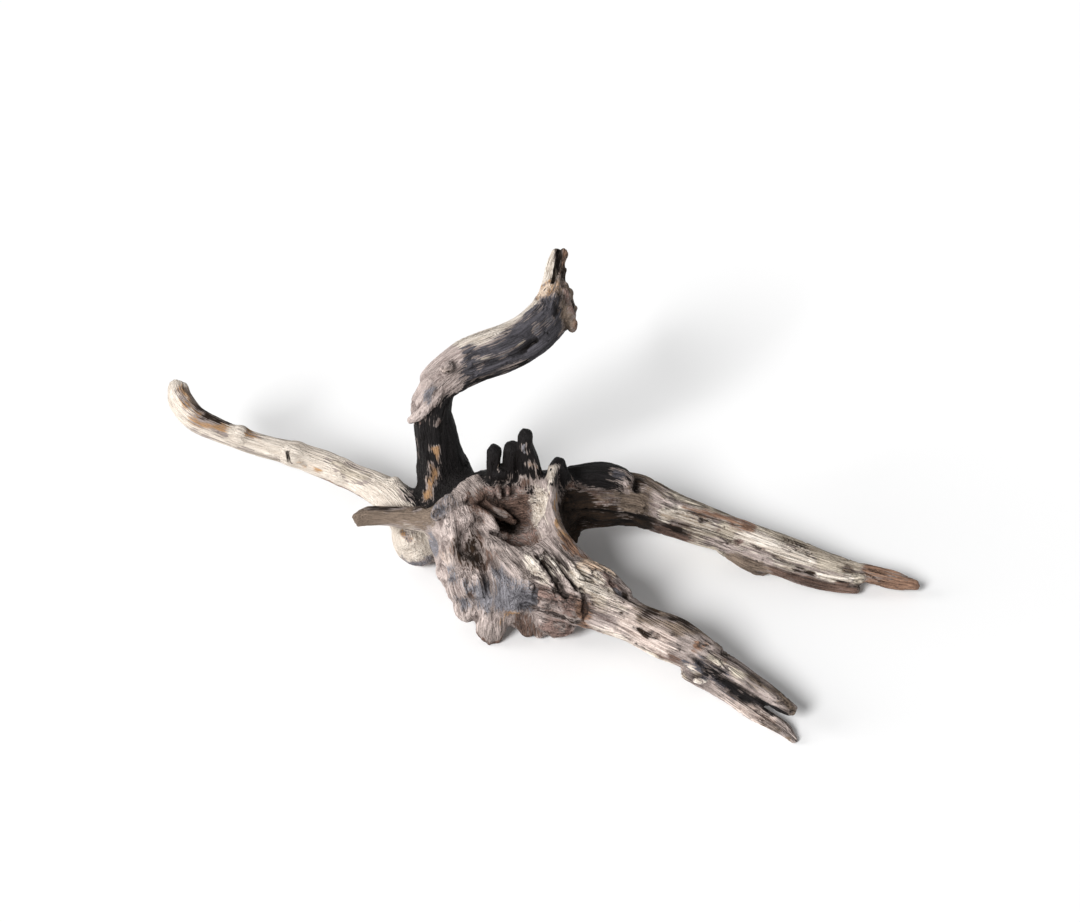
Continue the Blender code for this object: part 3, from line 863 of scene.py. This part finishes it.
# %% Strokes on the stump
STUMP_STROKES = [
    # the whole stump, then the bowl
    ("ash", 44, [(-22, -12, 30), (4, -30, 32)]),
    ("umber", 13, [(-28, 4, 50), (-12, 2, 46), (-2, 4, 52)]),
    ("umber", 6, [(-18, -8, 42), (-12, -16, 40), (-4, -14, 42)]),
    ("rust", 5, [(-26, 11, 57), (-20, 10, 57), (-14, 10, 56)]),
    ("weathered", 4, [(-24, -2, 50), (-17, -2, 50)]),
    ("ash", 3, [(-5, 2, 49)]),
    ("stain_and_shade", 3, [(-23, 0, 38), (-14, 0, 35)]),
    ("rust", 5, [(-10, -10, 40), (-4, -8, 42)]),
    # the brown hollow on the left
    ("russet", 6, [(-44, -16, 46), (-46, -20, 42)]),
    ("umber", 8, [(-37, -20, 48), (-36, -30, 45), (-28, -32, 46)]),
    ("stain_and_shade", 6, [(-38, -21, 46), (-35, -27, 43), (-34, -31, 43)]),
    # the front, with blue-grey stains
    ("weathered", 9, [(-20, -26, 48), (-10, -34, 47), (0, -40, 44)]),
    ("slate", 9, [(-17, -52, 32), (-8, -52, 30)]),
    ("slate", 6, [(-31, -48, 33), (-27, -48, 26)]),
    ("slate", 4, [(-45, -32, 38), (-44, -38, 34)]),
    ("slate", 3, [(-40, -43, 28), (-36, -46, 22)]),
    ("umber", 3, [(-38, -41, 34), (-34, -46, 30)]),
    # the toes
    ("weathered", 7, [(-22, -55, 8), (-28, -57, 8)]),
    ("umber", 3, [(-32, -54, 3), (-26, -57, 1), (-18, -55, 3)]),
    ("tan", 3, [(-16, -54, 18), (-12, -54, 20)]),
    ("umber", 6, [(-7, -52, 14), (-5, -52, 6)]),
    ("fresh", 2, [(-9, -53, 17), (-6, -54, 14)]),
    # the ridges towards the lower prong, and painted shade in the cracks between them
    ("bleached", 2.4, [(4, -36, 48), (12, -46, 44)]),
    ("bleached", 3, [(10, -34, 47), (18, -44, 45), (24, -50, 42)]),
    ("stain_and_shade", 1.6, [(1, -36, 47), (8, -47, 43), (12, -53, 40)]),
    ("stain_and_shade", 1.6, [(6, -32, 48), (13, -43, 44), (19, -52, 41)]),
    # the lobes at the right of the front
    ("rust", 6, [(4, -56, 37), (10, -60, 36), (20, -63, 34)]),
    ("ash", 3.5, [(5, -59, 34), (12, -62, 36)]),
    ("stain_and_shade", 3, [(4, -60, 28), (12, -63, 26), (24, -64, 28)]),
    ("rust", 8, [(10, -58, 14), (14, -56, 10)]),
    ("weathered", 4, [(14, -60, 16)]),
    ("stain_and_shade", 1.3, [(25, -58, 40), (26, -64, 34)]),
    ("bleached", 3.5, [(-3, -38, 46), (5, -48, 42)]),
    ("slate", 4, [(-19, -42, 42), (-14, -46, 39)]),
    ("blush", 5, [(-47, -20, 42), (-46, -28, 38)]),
    # behind, and the root
    ("umber", 10, [(-46, 22, 40), (-36, 30, 36)]),
    ("brown", 12, [(-14, 52, 8), (-18, 40, 22)]),
]
print("strokes on the stump", len(STUMP_STROKES))

# %% Strokes on the fin
FIN_STROKES = [
    # the pocket beside the fin, painted dark as the shade in it
    ("stain_and_shade", 15, [(22, 0, 46), (24, -2, 30), (20, -10, 20)]),
    # the fin, with a pale crest and tan along its edge
    ("ash", 8, [(4, 4, 62), (3, -8, 52), (6, -22, 47)]),
    ("weathered", 7, [(10, -28, 46), (18, -36, 44)]),
    ("bleached", 7, [(3, 3, 54), (2, 0, 45), (3, -10, 48)]),
    ("ash", 6, [(4, -14, 48), (8, -24, 47)]),
    ("bleached", 3, [(9, 8, 73), (8, 3, 69), (7, -3, 63)]),
    ("tan", 2.4, [(10, -3, 62), (11, -12, 58), (14, -20, 50)]),
    ("russet", 3, [(15, -22, 49), (20, -26, 44), (25, -30, 43)]),
]
print("strokes on the fin", len(FIN_STROKES))

# %% Strokes on the left limb, the spur and the knob
LEFT_STROKES = [
    # the long limb
    ("bleached", 17, [(-210, 91, 57), (-195, 76, 51), (-158, 65, 41), (-123, 57, 34),
                      (-92, 41, 30), (-74, 28, 26)]),
    ("straw", 4, [(-118, 50, 42), (-108, 46, 40), (-98, 40, 38)]),
    ("straw", 4, [(-200, 74, 46), (-176, 64, 40), (-150, 58, 34)]),
    ("russet", 2.4, [(-123, 52, 28), (-107, 44, 26), (-92, 35, 23)]),
    ("tan", 3.5, [(-202, 88, 62), (-196, 76, 57), (-190, 70, 55), (-180, 68, 52)]),
    ("brown", 2.4, [(-199, 90, 62), (-194, 80, 59)]),
    ("stain_and_shade", 3, [(-195, 78, 58), (-190, 74, 56), (-184, 73, 54), (-178, 74, 51)]),
    ("tan", 2.2, [(-166, 67, 48), (-159, 64, 47)]),
    ("stain_and_shade", 0.7, [(-141, 52, 38), (-142, 57, 44)]),
    ("tan", 2.4, [(-133, 50, 38), (-128, 48, 36)]),
    ("stain_and_shade", 1.5, [(-133, 51, 39)]),
    # the knob
    ("bleached", 18, [(-72, 8, 20)]),
    ("tan", 2, [(-74, 4, 27), (-70, 2, 27)]),
    ("stain_and_shade", 1.2, [(-72, 2, 27)]),
    ("slate", 5, [(-57, -8, 33), (-58, -8, 26)]),
    ("slate", 4, [(-60, -2, 10), (-74, 2, 6)]),
    # the spur
    ("brown", 9, [(-99, 10, 34), (-84, 13, 37), (-66, 9, 40), (-58, 4, 46)]),
    ("stain_and_shade", 2.4, [(-94, 14, 39), (-80, 14, 40), (-64, 11, 44)]),
    # the dome that the spur runs into
    ("ash", 12, [(-44, -8, 48), (-46, -14, 44)]),
    ("slate", 4.5, [(-54, -3, 51), (-48, 1, 53)]),
    ("weathered", 6, [(-44, 5, 55), (-33, 15, 59)]),
    ("stain_and_shade", 3, [(-54, -7, 52)]),
]
print("strokes on the left", len(LEFT_STROKES))

# %% Strokes on the trunk, the branch and the fingers
TRUNK_STROKES = [
    # the trunk, and where its skin tore off
    ("charred", 24, [(-50, 34, 40), (-56, 36, 62), (-57, 36, 88)]),
    ("umber", 18, [(-48, 46, 8), (-52, 44, 16)]),
    ("umber", 3, [(-68, 30, 84), (-69, 32, 64)]),
    ("ash", 2, [(-69, 30, 74), (-68, 29, 58)]),
    ("tan", 2, [(-55, 24, 73), (-56, 24, 64)]),
    ("tan", 3.4, [(-57, 24, 58), (-59, 23, 48), (-62, 22, 38)]),
    ("fresh", 1.8, [(-69, 25, 44), (-68, 23, 37)]),
    # the branch, pale above and sooty below
    ("bleached", 24, [(-40, 50, 120), (-21, 54, 119), (-8, 61, 121), (3, 74, 122), (9, 90, 126),
                      (11, 104, 131), (13, 120, 137)]),
    ("soot", 17, [(-40, 33, 113), (-25, 36, 114), (-9, 44, 117), (5, 58, 121), (14, 74, 120)]),
    ("charred", 4, [(-38, 33, 107), (-20, 36, 111), (-4, 46, 113)]),
    ("soot", 8, [(10, 78, 130), (13, 90, 131)]),
    ("soot", 5, [(-43, 38, 122), (-36, 36, 122)]),
    ("soot", 3, [(-50, 43, 122), (-45, 40, 124), (-36, 38, 124)]),
    # the elbow
    ("ash", 15, [(-66, 34, 98), (-58, 34, 108), (-52, 40, 116)]),
    ("ash", 6, [(-48, 34, 118)]),
    ("slate", 3, [(-56, 30, 111), (-60, 28, 106)]),
    ("ash", 5, [(-49, 33, 121)]),
    ("blush", 2.4, [(-48, 31, 122)]),
    ("stain_and_shade", 1, [(-47, 31, 122)]),
    ("soot", 5, [(-39, 33, 121)]),
    # the top of the trunk and its two knots
    ("charred", 7, [(-64, 28, 80), (-56, 26, 88), (-47, 31, 97)]),
    ("rust", 2.4, [(-55, 26, 91)]),
    ("stain_and_shade", 1.2, [(-55, 26, 91)]),
    ("rust", 1.5, [(-63, 26, 88)]),
    # streaks along the branch
    ("slate", 2.4, [(-30, 37, 122), (-14, 43, 126)]),
    ("slate", 3, [(2, 56, 131), (8, 66, 131)]),
    ("straw", 1.6, [(-30, 37, 123), (-12, 43, 126), (0, 50, 128)]),
    # the broken lobe, the pale knot and the spike
    ("brown", 8, [(18, 76, 122), (19, 84, 128), (16, 92, 130)]),
    ("rust", 3, [(16, 92, 134), (20, 78, 126)]),
    ("tan", 6.4, [(6, 88, 133), (6, 91, 132)]),
    ("fresh", 5.6, [(4, 88, 133), (5, 91, 132)]),
    ("stain_and_shade", 0.8, [(6, 90, 134)]),
    ("russet", 5, [(19, 122, 138), (18, 112, 138), (17, 102, 137)]),
    ("stain_and_shade", 2.4, [(13, 120, 140), (13, 112, 138), (12, 104, 135)]),
    ("stain_and_shade", 4, [(18, 104, 134)]),
    ("stain_and_shade", 1.6, [(20, 88, 131), (22, 80, 124)]),
    ("russet", 4, [(22, 74, 119)]),
    # the fingers
    ("charred", 16, [(-24, 13, 76), (-13, 12, 80), (-5, 11, 90), (12, 16, 68)]),
    ("slate", 1.6, [(-6, 6, 92), (-4, 5, 80)]),
    ("charred", 11, [(-24, 20, 60), (-10, 20, 60), (2, 18, 60), (12, 20, 60)]),
    ("tan", 2.2, [(-4, 5, 78), (-1, 5, 74)]),
    ("fresh", 1.8, [(-20, 8, 76), (-20, 8, 71)]),
]
print("strokes on the trunk and the branch", len(TRUNK_STROKES))

# %% Strokes on the right prong
RIGHT_STROKES = [
    # the root of the prong, and the prong
    ("umber", 22, [(28, 18, 40), (40, 22, 36)]),
    ("brown", 15, [(50, 24, 36), (58, 24, 36)]),
    ("straw", 18, [(84, 16, 27), (110, 8, 22), (140, -2, 17), (172, -9, 12)]),
    ("brown", 4, [(54, 36, 44), (69, 34, 42), (90, 30, 35), (124, 19, 27)]),
    ("ash", 9, [(70, 14, 38), (80, 11, 34), (92, 9, 31)]),
    ("bleached", 4, [(78, 11, 35), (90, 9, 31)]),
    ("umber", 7, [(60, 14, 24), (70, 12, 22), (80, 8, 20)]),
    # painted shade under the prong's root
    ("stain_and_shade", 9, [(28, 6, 36), (36, 8, 34), (46, 12, 26), (58, 12, 24)]),
    ("brown", 4, [(40, 12, 50), (54, 14, 46), (62, 14, 42)]),
    ("stain_and_shade", 1.8, [(20, 1, 46), (34, 8, 40), (47, 10, 36), (58, 11, 32), (69, 8, 30),
                    (80, 8, 25)]),
    ("russet", 3, [(82, 16, 35), (100, 14, 32), (118, 10, 28)]),
    ("bleached", 4, [(72, 12, 35), (84, 11, 34)]),
    ("bleached", 5, [(118, 2, 26), (134, -4, 23), (150, -9, 20)]),
    ("ash", 6, [(92, 4, 22), (112, -2, 18), (128, -7, 15)]),
    ("straw", 5, [(84, 5, 28), (94, 4, 26)]),
    ("bleached", 5, [(80, 12, 34), (92, 11, 31)]),
    ("rust", 1.6, [(100, 5, 28), (124, -4, 22)]),
    ("stain_and_shade", 1.8, [(93, 12, 33)]),
    # the flap, the loose strip and the tip
    ("brown", 7, [(112, 0, 9), (120, -2, 8), (128, -3, 7)]),
    ("stain_and_shade", 2.4, [(126, -5, 5)]),
    ("umber", 5, [(134, -7, 9), (149, -13, 7), (163, -17, 6), (177, -20, 4)]),
    ("stain_and_shade", 2.4, [(146, -13, 14), (152, -15, 14)]),
    ("bleached", 2.6, [(156, -14, 15), (172, -18, 12)]),
    ("brown", 2, [(170, -12, 17), (178, -13, 14)]),
    ("stain_and_shade", 2.4, [(180, -16, 8), (181, -13, 12)]),
    ("russet", 8, [(187, -11, 10), (200, -14, 8), (212, -15, 7)]),
    # the burnt bark on its root
    ("charred", 10, [(18, 26, 54), (32, 26, 56), (45, 25, 55)]),
    ("soot", 3.4, [(44, 21, 55), (48, 22, 54)]),
    ("ash", 4, [(51, 20, 50)]),
    ("stain_and_shade", 4, [(56, 23, 47), (58, 26, 46)]),
]
print("strokes on the right prong", len(RIGHT_STROKES))

# %% Strokes on the lower prong
LOWER_STROKES = [
    # the prong
    ("blush", 15, [(40, -68, 28), (54, -74, 24), (74, -84, 16)]),
    ("blush", 9, [(30, -64, 30), (44, -62, 36)]),
    ("bleached", 5, [(30, -70, 24), (54, -78, 18), (74, -88, 12)]),
    ("ash", 6, [(26, -64, 36), (38, -70, 33)]),
    ("bleached", 5, [(14, -42, 45), (28, -54, 43), (44, -65, 38)]),
    # the step at its root
    ("fresh", 7, [(28, -35, 44), (36, -40, 43)]),
    ("rust", 4, [(36, -47, 41), (43, -51, 39)]),
    ("slate", 2, [(42, -52, 38), (48, -56, 37)]),
    ("stain_and_shade", 2, [(48, -55, 37), (54, -59, 36)]),
    ("russet", 5, [(24, -63, 34), (26, -64, 27)]),
    ("stain_and_shade", 1.4, [(33, -66, 38), (48, -72, 35), (60, -78, 31)]),
    # the strip of bark
    ("brown", 7, [(60, -64, 34), (74, -72, 33), (88, -79, 30), (97, -86, 27)]),
    ("stain_and_shade", 3, [(58, -64, 35), (66, -68, 34), (80, -70, 31)]),
    ("umber", 3, [(66, -84, 18), (76, -88, 21)]),
    # the split end
    ("weathered", 10, [(80, -86, 29), (96, -94, 27), (112, -104, 24), (128, -114, 19)]),
    ("straw", 3, [(92, -92, 28), (108, -102, 25)]),
    ("brown", 4, [(116, -102, 24), (126, -109, 20), (132, -116, 16)]),
    ("russet", 1.6, [(84, -84, 29), (98, -94, 27)]),
    ("weathered", 10, [(84, -92, 10), (106, -106, 7), (124, -118, 5), (134, -126, 3)]),
    ("blush", 5, [(98, -107, 9), (119, -118, 6)]),
    ("soot", 4.5, [(84, -89, 20), (94, -95, 17), (104, -101, 15)]),
    ("charred", 2.8, [(90, -92, 19), (101, -99, 15), (111, -106, 12), (120, -112, 11),
                      (130, -119, 10)]),
    ("bleached", 4, [(68, -84, 13), (78, -90, 10)]),
    ("bleached", 2.6, [(82, -92, 19), (88, -97, 15)]),
    ("bleached", 3, [(22, -40, 44), (30, -46, 42), (40, -56, 38)]),
    ("brown", 1.6, [(96, -106, 7), (116, -119, 4), (130, -127, 3)]),
]
STROKES = (STUMP_STROKES + LEFT_STROKES + TRUNK_STROKES + RIGHT_STROKES + LOWER_STROKES
           + FIN_STROKES)
print("strokes on the lower prong", len(LOWER_STROKES))

# %% [markdown]
# ## Painting by distance
#
# A stroke stores how far inside its edge each point is, so the material can tear that edge along
# the grain and keep it crisp. Points are nudged a little by a few sine waves first, so that no
# stroke keeps the round shape of its brush.

# %% Nudge the points
# Each wave's turns along x, y and z, and how far it pushes, in millimetres.
WOBBLE = [((0.31, 0.17, -0.11), (1.3, 0.2, 0.9)), ((-0.12, 0.43, 0.21), (0.4, 1.1, -0.7)),
          ((0.27, -0.19, 0.52), (-0.9, 0.6, 0.8)), ((0.61, 0.33, -0.47), (0.5, -0.6, 0.5)),
          ((-0.71, 0.58, 0.35), (0.4, 0.4, -0.4))]
nudged = points.astype(np.float32)
for wave, push in WOBBLE:
    swing = np.sin(points @ np.array(wave, np.float32))[:, None]
    nudged = nudged + swing * np.array(push, np.float32)
print("longest nudge", round(float(np.abs(nudged - points).max()), 2), "mm")


# %% Paint the strokes
def distance_to_path(spots, path):
    path = np.array(path, np.float32)
    nearest = np.linalg.norm(spots - path[0], axis=1)
    for start, end in zip(path, path[1:]):
        along = end - start
        t = np.clip((spots - start) @ along / (along @ along), 0, 1)
        nearest = np.minimum(nearest, np.linalg.norm(spots - start - t[:, None] * along, axis=1))
    return nearest


WIDEST_EDGE, EDGE_TO_RADIUS = 5.0, 1.2
depth = {name: np.full(len(points), -1.0, np.float32) for name in list(FINISHES)[1:]}
for finish, radius, path in STROKES:
    edge_width = min(WIDEST_EDGE, EDGE_TO_RADIUS * radius)
    inside = np.clip((radius - distance_to_path(nudged, path)) / edge_width, -1, 1)
    for name in depth:
        if name == finish:
            depth[name] = np.maximum(depth[name], inside)
        else:
            depth[name] = np.minimum(depth[name], -inside)
for name, values in depth.items():
    store(mesh, "is_" + name, values, "POINT")
print("strokes", len(STROKES))

# %% [markdown]
# ## The material: dry, sea-worn wood
#
# Bare weathered wood is matt: an index of refraction near 1.5, but so rough that it hardly shines.
# Only the charred parts, which are dense and smooth, catch a little light. Real fibres are about
# 0.05 mm apart, too fine to show, so they are drawn 0.9 mm apart, with hairs of 0.5 mm between
# them. All patterns read the grain coordinates, so they follow every bend. Grit and blotches have
# no direction and read the object's own coordinates.

# %% Patterns of the wood
FIBRES, HAIRS, SPLITS = (0.9, 26.0, 3.0), (0.5, 12.0, 2.0), (1.9, 34.0, 2.0)
GRITS_PER_METRE, BLOTCHES_PER_METRE = 1100.0, 110.0  # grit of 0.9 mm and blotches of 9 mm
driftwood.use_nodes = True
paint = driftwood.node_tree
paint.nodes.clear()
source = [add(paint, "ShaderNodeAttribute", attribute_name="grain_" + name).outputs[output]
          for name, output in (("first", "Vector"), ("second", "Vector"), ("mix", "Fac"))]
cut, crease, edge = [add(paint, "ShaderNodeAttribute", attribute_name=name).outputs["Fac"]
                     for name in ("cut", "crease", "edge")]
place_on_wood = add(paint, "ShaderNodeTexCoord").outputs["Object"]
grit, blotches = [add(paint, "ShaderNodeTexNoise", {"Vector": place_on_wood, "Scale": scale,
                                                    "Detail": detail}).outputs[0]
                  for scale, detail in ((GRITS_PER_METRE, 3.0), (BLOTCHES_PER_METRE, 4.0))]

# The middle of each pattern's range is stretched to the whole of it, so that it has contrast.
pattern = {}
for name, noise, low, high in [
        ("flutes", grain_noise(paint, source, *FLUTES), 0.33, 0.67),
        ("grain", grain_noise(paint, source, *GRAIN), 0.36, 0.64),
        ("fibres", grain_noise(paint, source, *FIBRES), 0.41, 0.59),
        ("hairs", grain_noise(paint, source, *HAIRS), 0.4, 0.6),
        ("grit", grit, 0.35, 0.65), ("blotches", blotches, 0.3, 0.7)]:
    pattern[name] = add(paint, "ShaderNodeMapRange", {"Value": noise, "From Min": low,
                                                      "From Max": high}).outputs[0]
print("patterns", list(pattern))

# %% [markdown]
# ## From dark grain to light grain
#
# One shade runs over all the wood and picks between each finish's dark and light. Worn edges are
# lighter, and creases are darker as painted shade. Where the sea polished the wood the shade is
# calmer, near one value.
# A second sum, mostly of fibres, tears the edges of the strokes.

# %% The shade, and how edges tear
CALM_SHADE = 0.68
# creases lower the shade: painted shade in them
shade = total(paint, (pattern["fibres"], 0.5), (pattern["hairs"], 0.2), (pattern["grain"], 0.12),
              (pattern["flutes"], 0.2), (pattern["grit"], 0.25), (edge, 0.3), (crease, -0.6),
              start=-0.07)
calm = add(paint, "ShaderNodeMapRange", {"Value": cut, "From Min": 0.4, "From Max": 1.0,
                                         "To Min": 0.6, "To Max": 0.0}).outputs[0]
shade = add(paint, "ShaderNodeMix", {"Factor": calm, "A": shade, "B": CALM_SHADE}).outputs[0]
torn = total(paint, (pattern["fibres"], 0.85), (pattern["grain"], 0.5),
             (pattern["blotches"], 0.15), start=-0.75)
print("nodes so far", len(paint.nodes))


# %% Layers of finishes
def linear(hex_colour):
    """An sRGB hex colour as linear numbers."""
    parts = [int(hex_colour[i:i + 2], 16) / 255 for i in (1, 3, 5)]
    return [c / 12.92 if c <= 0.04045 else ((c + 0.055) / 1.055)**2.4 for c in parts] + [1.0]


CRISP = ("bleached", "fresh", "soot", "charred")
CRISP_EDGE, SOFT_EDGE, TEAR = 0.15, 0.3, 0.9
A_COLOUR, B_COLOUR, COLOUR_OUT = 6, 7, 2  # a Mix node has sockets of each kind, these for colours
colour = None
masks = {}
for name, (dark, light) in FINISHES.items():
    pair = add(paint, "ShaderNodeMix",
               {"Factor": shade, A_COLOUR: linear(dark), B_COLOUR: linear(light)},
               data_type="RGBA").outputs[COLOUR_OUT]
    if colour is None:
        colour = pair
        continue
    inside = add(paint, "ShaderNodeAttribute", attribute_name="is_" + name).outputs["Fac"]
    soft = CRISP_EDGE if name in CRISP else SOFT_EDGE
    masks[name] = add(paint, "ShaderNodeMapRange",
                      {"Value": total(paint, (torn, TEAR), start=inside), "From Min": -soft,
                       "From Max": soft}).outputs[0]
    colour = add(paint, "ShaderNodeMix",
                 {"Factor": masks[name], A_COLOUR: colour, B_COLOUR: pair},
                 data_type="RGBA").outputs[COLOUR_OUT]
print("layers", len(masks) + 1)

# %% [markdown]
# ## Cracks and dirt
#
# Drying cracks are near black, because light doesn't come back out of them. The material finds them
# where the geometry has them, from the same noise, and adds finer splits. Creases get painted
# shade, which only darkens, and the pits between the grit are darkened too.

# %% Cracks, splits, painted shade in creases, and pits
SPLIT_BAND = 0.035
# the dark that cracks and creases get as painted shade, and the pits between the grit too
SHADE_AND_PITS = "#140e0a"
patches = add(paint, "ShaderNodeTexNoise", {"Vector": place_on_wood, "Scale": PATCHES_PER_METRE,
                                            "Detail": 0.0}).outputs[0]
open_here = add(paint, "ShaderNodeMapRange", {"Value": patches, "From Min": SHUT_BELOW,
                                              "From Max": OPEN_ABOVE}).outputs[0]
crack_dark = crack_lines(paint, grain_noise(paint, source, *CRACK), CRACK_BAND, open_here)
split_here = add(paint, "ShaderNodeMapRange", {"Value": blotches, "From Min": 0.42,
                                               "From Max": 0.6, "To Max": 0.8}).outputs[0]
split_dark = crack_lines(paint, grain_noise(paint, source, *SPLITS), SPLIT_BAND, split_here)
crack_dark = add(paint, "ShaderNodeMath", {0: crack_dark, 1: split_dark}, operation="MAXIMUM")
crack_dark = add(paint, "ShaderNodeMath", {0: crack_dark.outputs[0], 1: cut},
                 operation="MULTIPLY").outputs[0]
crack_dark = total(paint, (crack_dark, 0.75))
pits = add(paint, "ShaderNodeMapRange", {"Value": grit, "From Min": 0.34, "From Max": 0.28})
pits = total(paint, (pits.outputs[0], cut))
# painted shade in creases and darker pits, then painted shade in the cracks
shade_and_pits = total(paint, (crease, 0.75), (pits, 0.4))
shade_and_pits = add(paint, "ShaderNodeMath", {0: shade_and_pits, 1: crack_dark}, operation="MAXIMUM", use_clamp=True)
colour = add(paint, "ShaderNodeMix",
             {"Factor": shade_and_pits.outputs[0], A_COLOUR: colour, B_COLOUR: linear(SHADE_AND_PITS)},
             data_type="RGBA").outputs[COLOUR_OUT]
print("nodes so far", len(paint.nodes))

# %% [markdown]
# ## Roughness and bump
#
# Bump carries what is finer than the mesh: fibres, hairs and grit, less than a millimetre high.
# Everything larger is already in the geometry. The specular level is low, because dry fibres
# scatter the light and hardly mirror it.

# %% The surface
roughness = total(paint, (masks["charred"], -0.2), (pattern["fibres"], 0.12), start=0.8)
height = total(paint, (pattern["fibres"], 0.6), (pattern["hairs"], 0.25), (pattern["grain"], 0.2),
               (grit, 0.4), (crack_dark, -1.2))
bump = add(paint, "ShaderNodeBump", {"Strength": 1.0, "Distance": 0.0009, "Height": height})
surface = add(paint, "ShaderNodeBsdfPrincipled",
              {"Base Color": colour, "Roughness": roughness, "IOR": 1.5,
               "Specular IOR Level": 0.25, "Normal": bump.outputs[0]})
add(paint, "ShaderNodeOutputMaterial", {0: surface.outputs[0]})
print("material nodes", len(paint.nodes))

# %% [markdown]
# ## Stage, light and camera
#
# A plain pale floor, like a wide sheet of matt paper, shows the shadow. A soft lamp from the front
# left casts it, behind the wood and to its right, and a weaker and wider lamp, low on the left,
# rounds the limbs. An even sky fills the rest. A sun lamp's angle says how wide it looks, so a
# large angle gives a soft shadow. The view is plain, with no film curve, so that the floor is
# clean white.

# %% Floor
FLOOR_HALF = 12.0  # so wide that its edge is far away in a low view
floor_mesh = bpy.data.meshes.new("floor")
floor_mesh.from_pydata([(x * FLOOR_HALF, y * FLOOR_HALF, 0)
                        for x, y in ((-1, -1), (1, -1), (1, 1), (-1, 1))], [], [(0, 1, 2, 3)])
floor = bpy.data.objects.new("floor", floor_mesh)
bpy.context.collection.objects.link(floor)
paper = bpy.data.materials.new("matt_white_paper")
paper.use_nodes = True
paper_surface = paper.node_tree.nodes["Principled BSDF"]
paper_surface.inputs["Base Color"].default_value = linear("#f7f7f7")
paper_surface.inputs["Roughness"].default_value = 0.9
paper_surface.inputs["Specular IOR Level"].default_value = 0.1
floor_mesh.materials.append(paper)
print("floor", 2 * FLOOR_HALF, "m wide")

# %% Lamps and sky
LAMPS = {  # strength, how wide the lamp looks in degrees, and its turn in degrees
    "soft_lamp": (3.4, 22, (53, 0, -38)),
    "side_lamp": (1.3, 30, (69, 0, -92)),
}
for name, (strength, width, turn) in LAMPS.items():
    lamp_data = bpy.data.lights.new(name, "SUN")
    lamp_data.energy = strength
    lamp_data.angle = math.radians(width)
    lamp = bpy.data.objects.new(name, lamp_data)
    lamp.rotation_euler = [math.radians(angle) for angle in turn]
    bpy.context.collection.objects.link(lamp)

sky = bpy.data.worlds.new("even_sky")
sky.use_nodes = True
sky.node_tree.nodes["Background"].inputs["Color"].default_value = linear("#ffffff")
sky.node_tree.nodes["Background"].inputs["Strength"].default_value = 0.3
bpy.context.scene.world = sky
bpy.context.scene.view_settings.view_transform = "Standard"
print("lamps", list(LAMPS))

# %% Camera
CAMERA_HEIGHT = math.radians(40)
CAMERA_DISTANCE = 1.26
LOOK_AT = Vector((0.0032, 0.1023, 0.0))
camera_data = bpy.data.cameras.new("camera")
camera_data.lens = 70
camera = bpy.data.objects.new("camera", camera_data)
towards_camera = Vector((0, -math.cos(CAMERA_HEIGHT), math.sin(CAMERA_HEIGHT)))
camera.location = LOOK_AT + CAMERA_DISTANCE * towards_camera
camera.rotation_euler = (math.pi / 2 - CAMERA_HEIGHT, 0, 0)
bpy.context.collection.objects.link(camera)
bpy.context.scene.camera = camera
print("camera at", [round(value, 3) for value in camera.location])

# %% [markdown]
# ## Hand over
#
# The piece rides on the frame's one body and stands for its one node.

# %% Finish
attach(wood, "root")
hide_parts("driftwood")
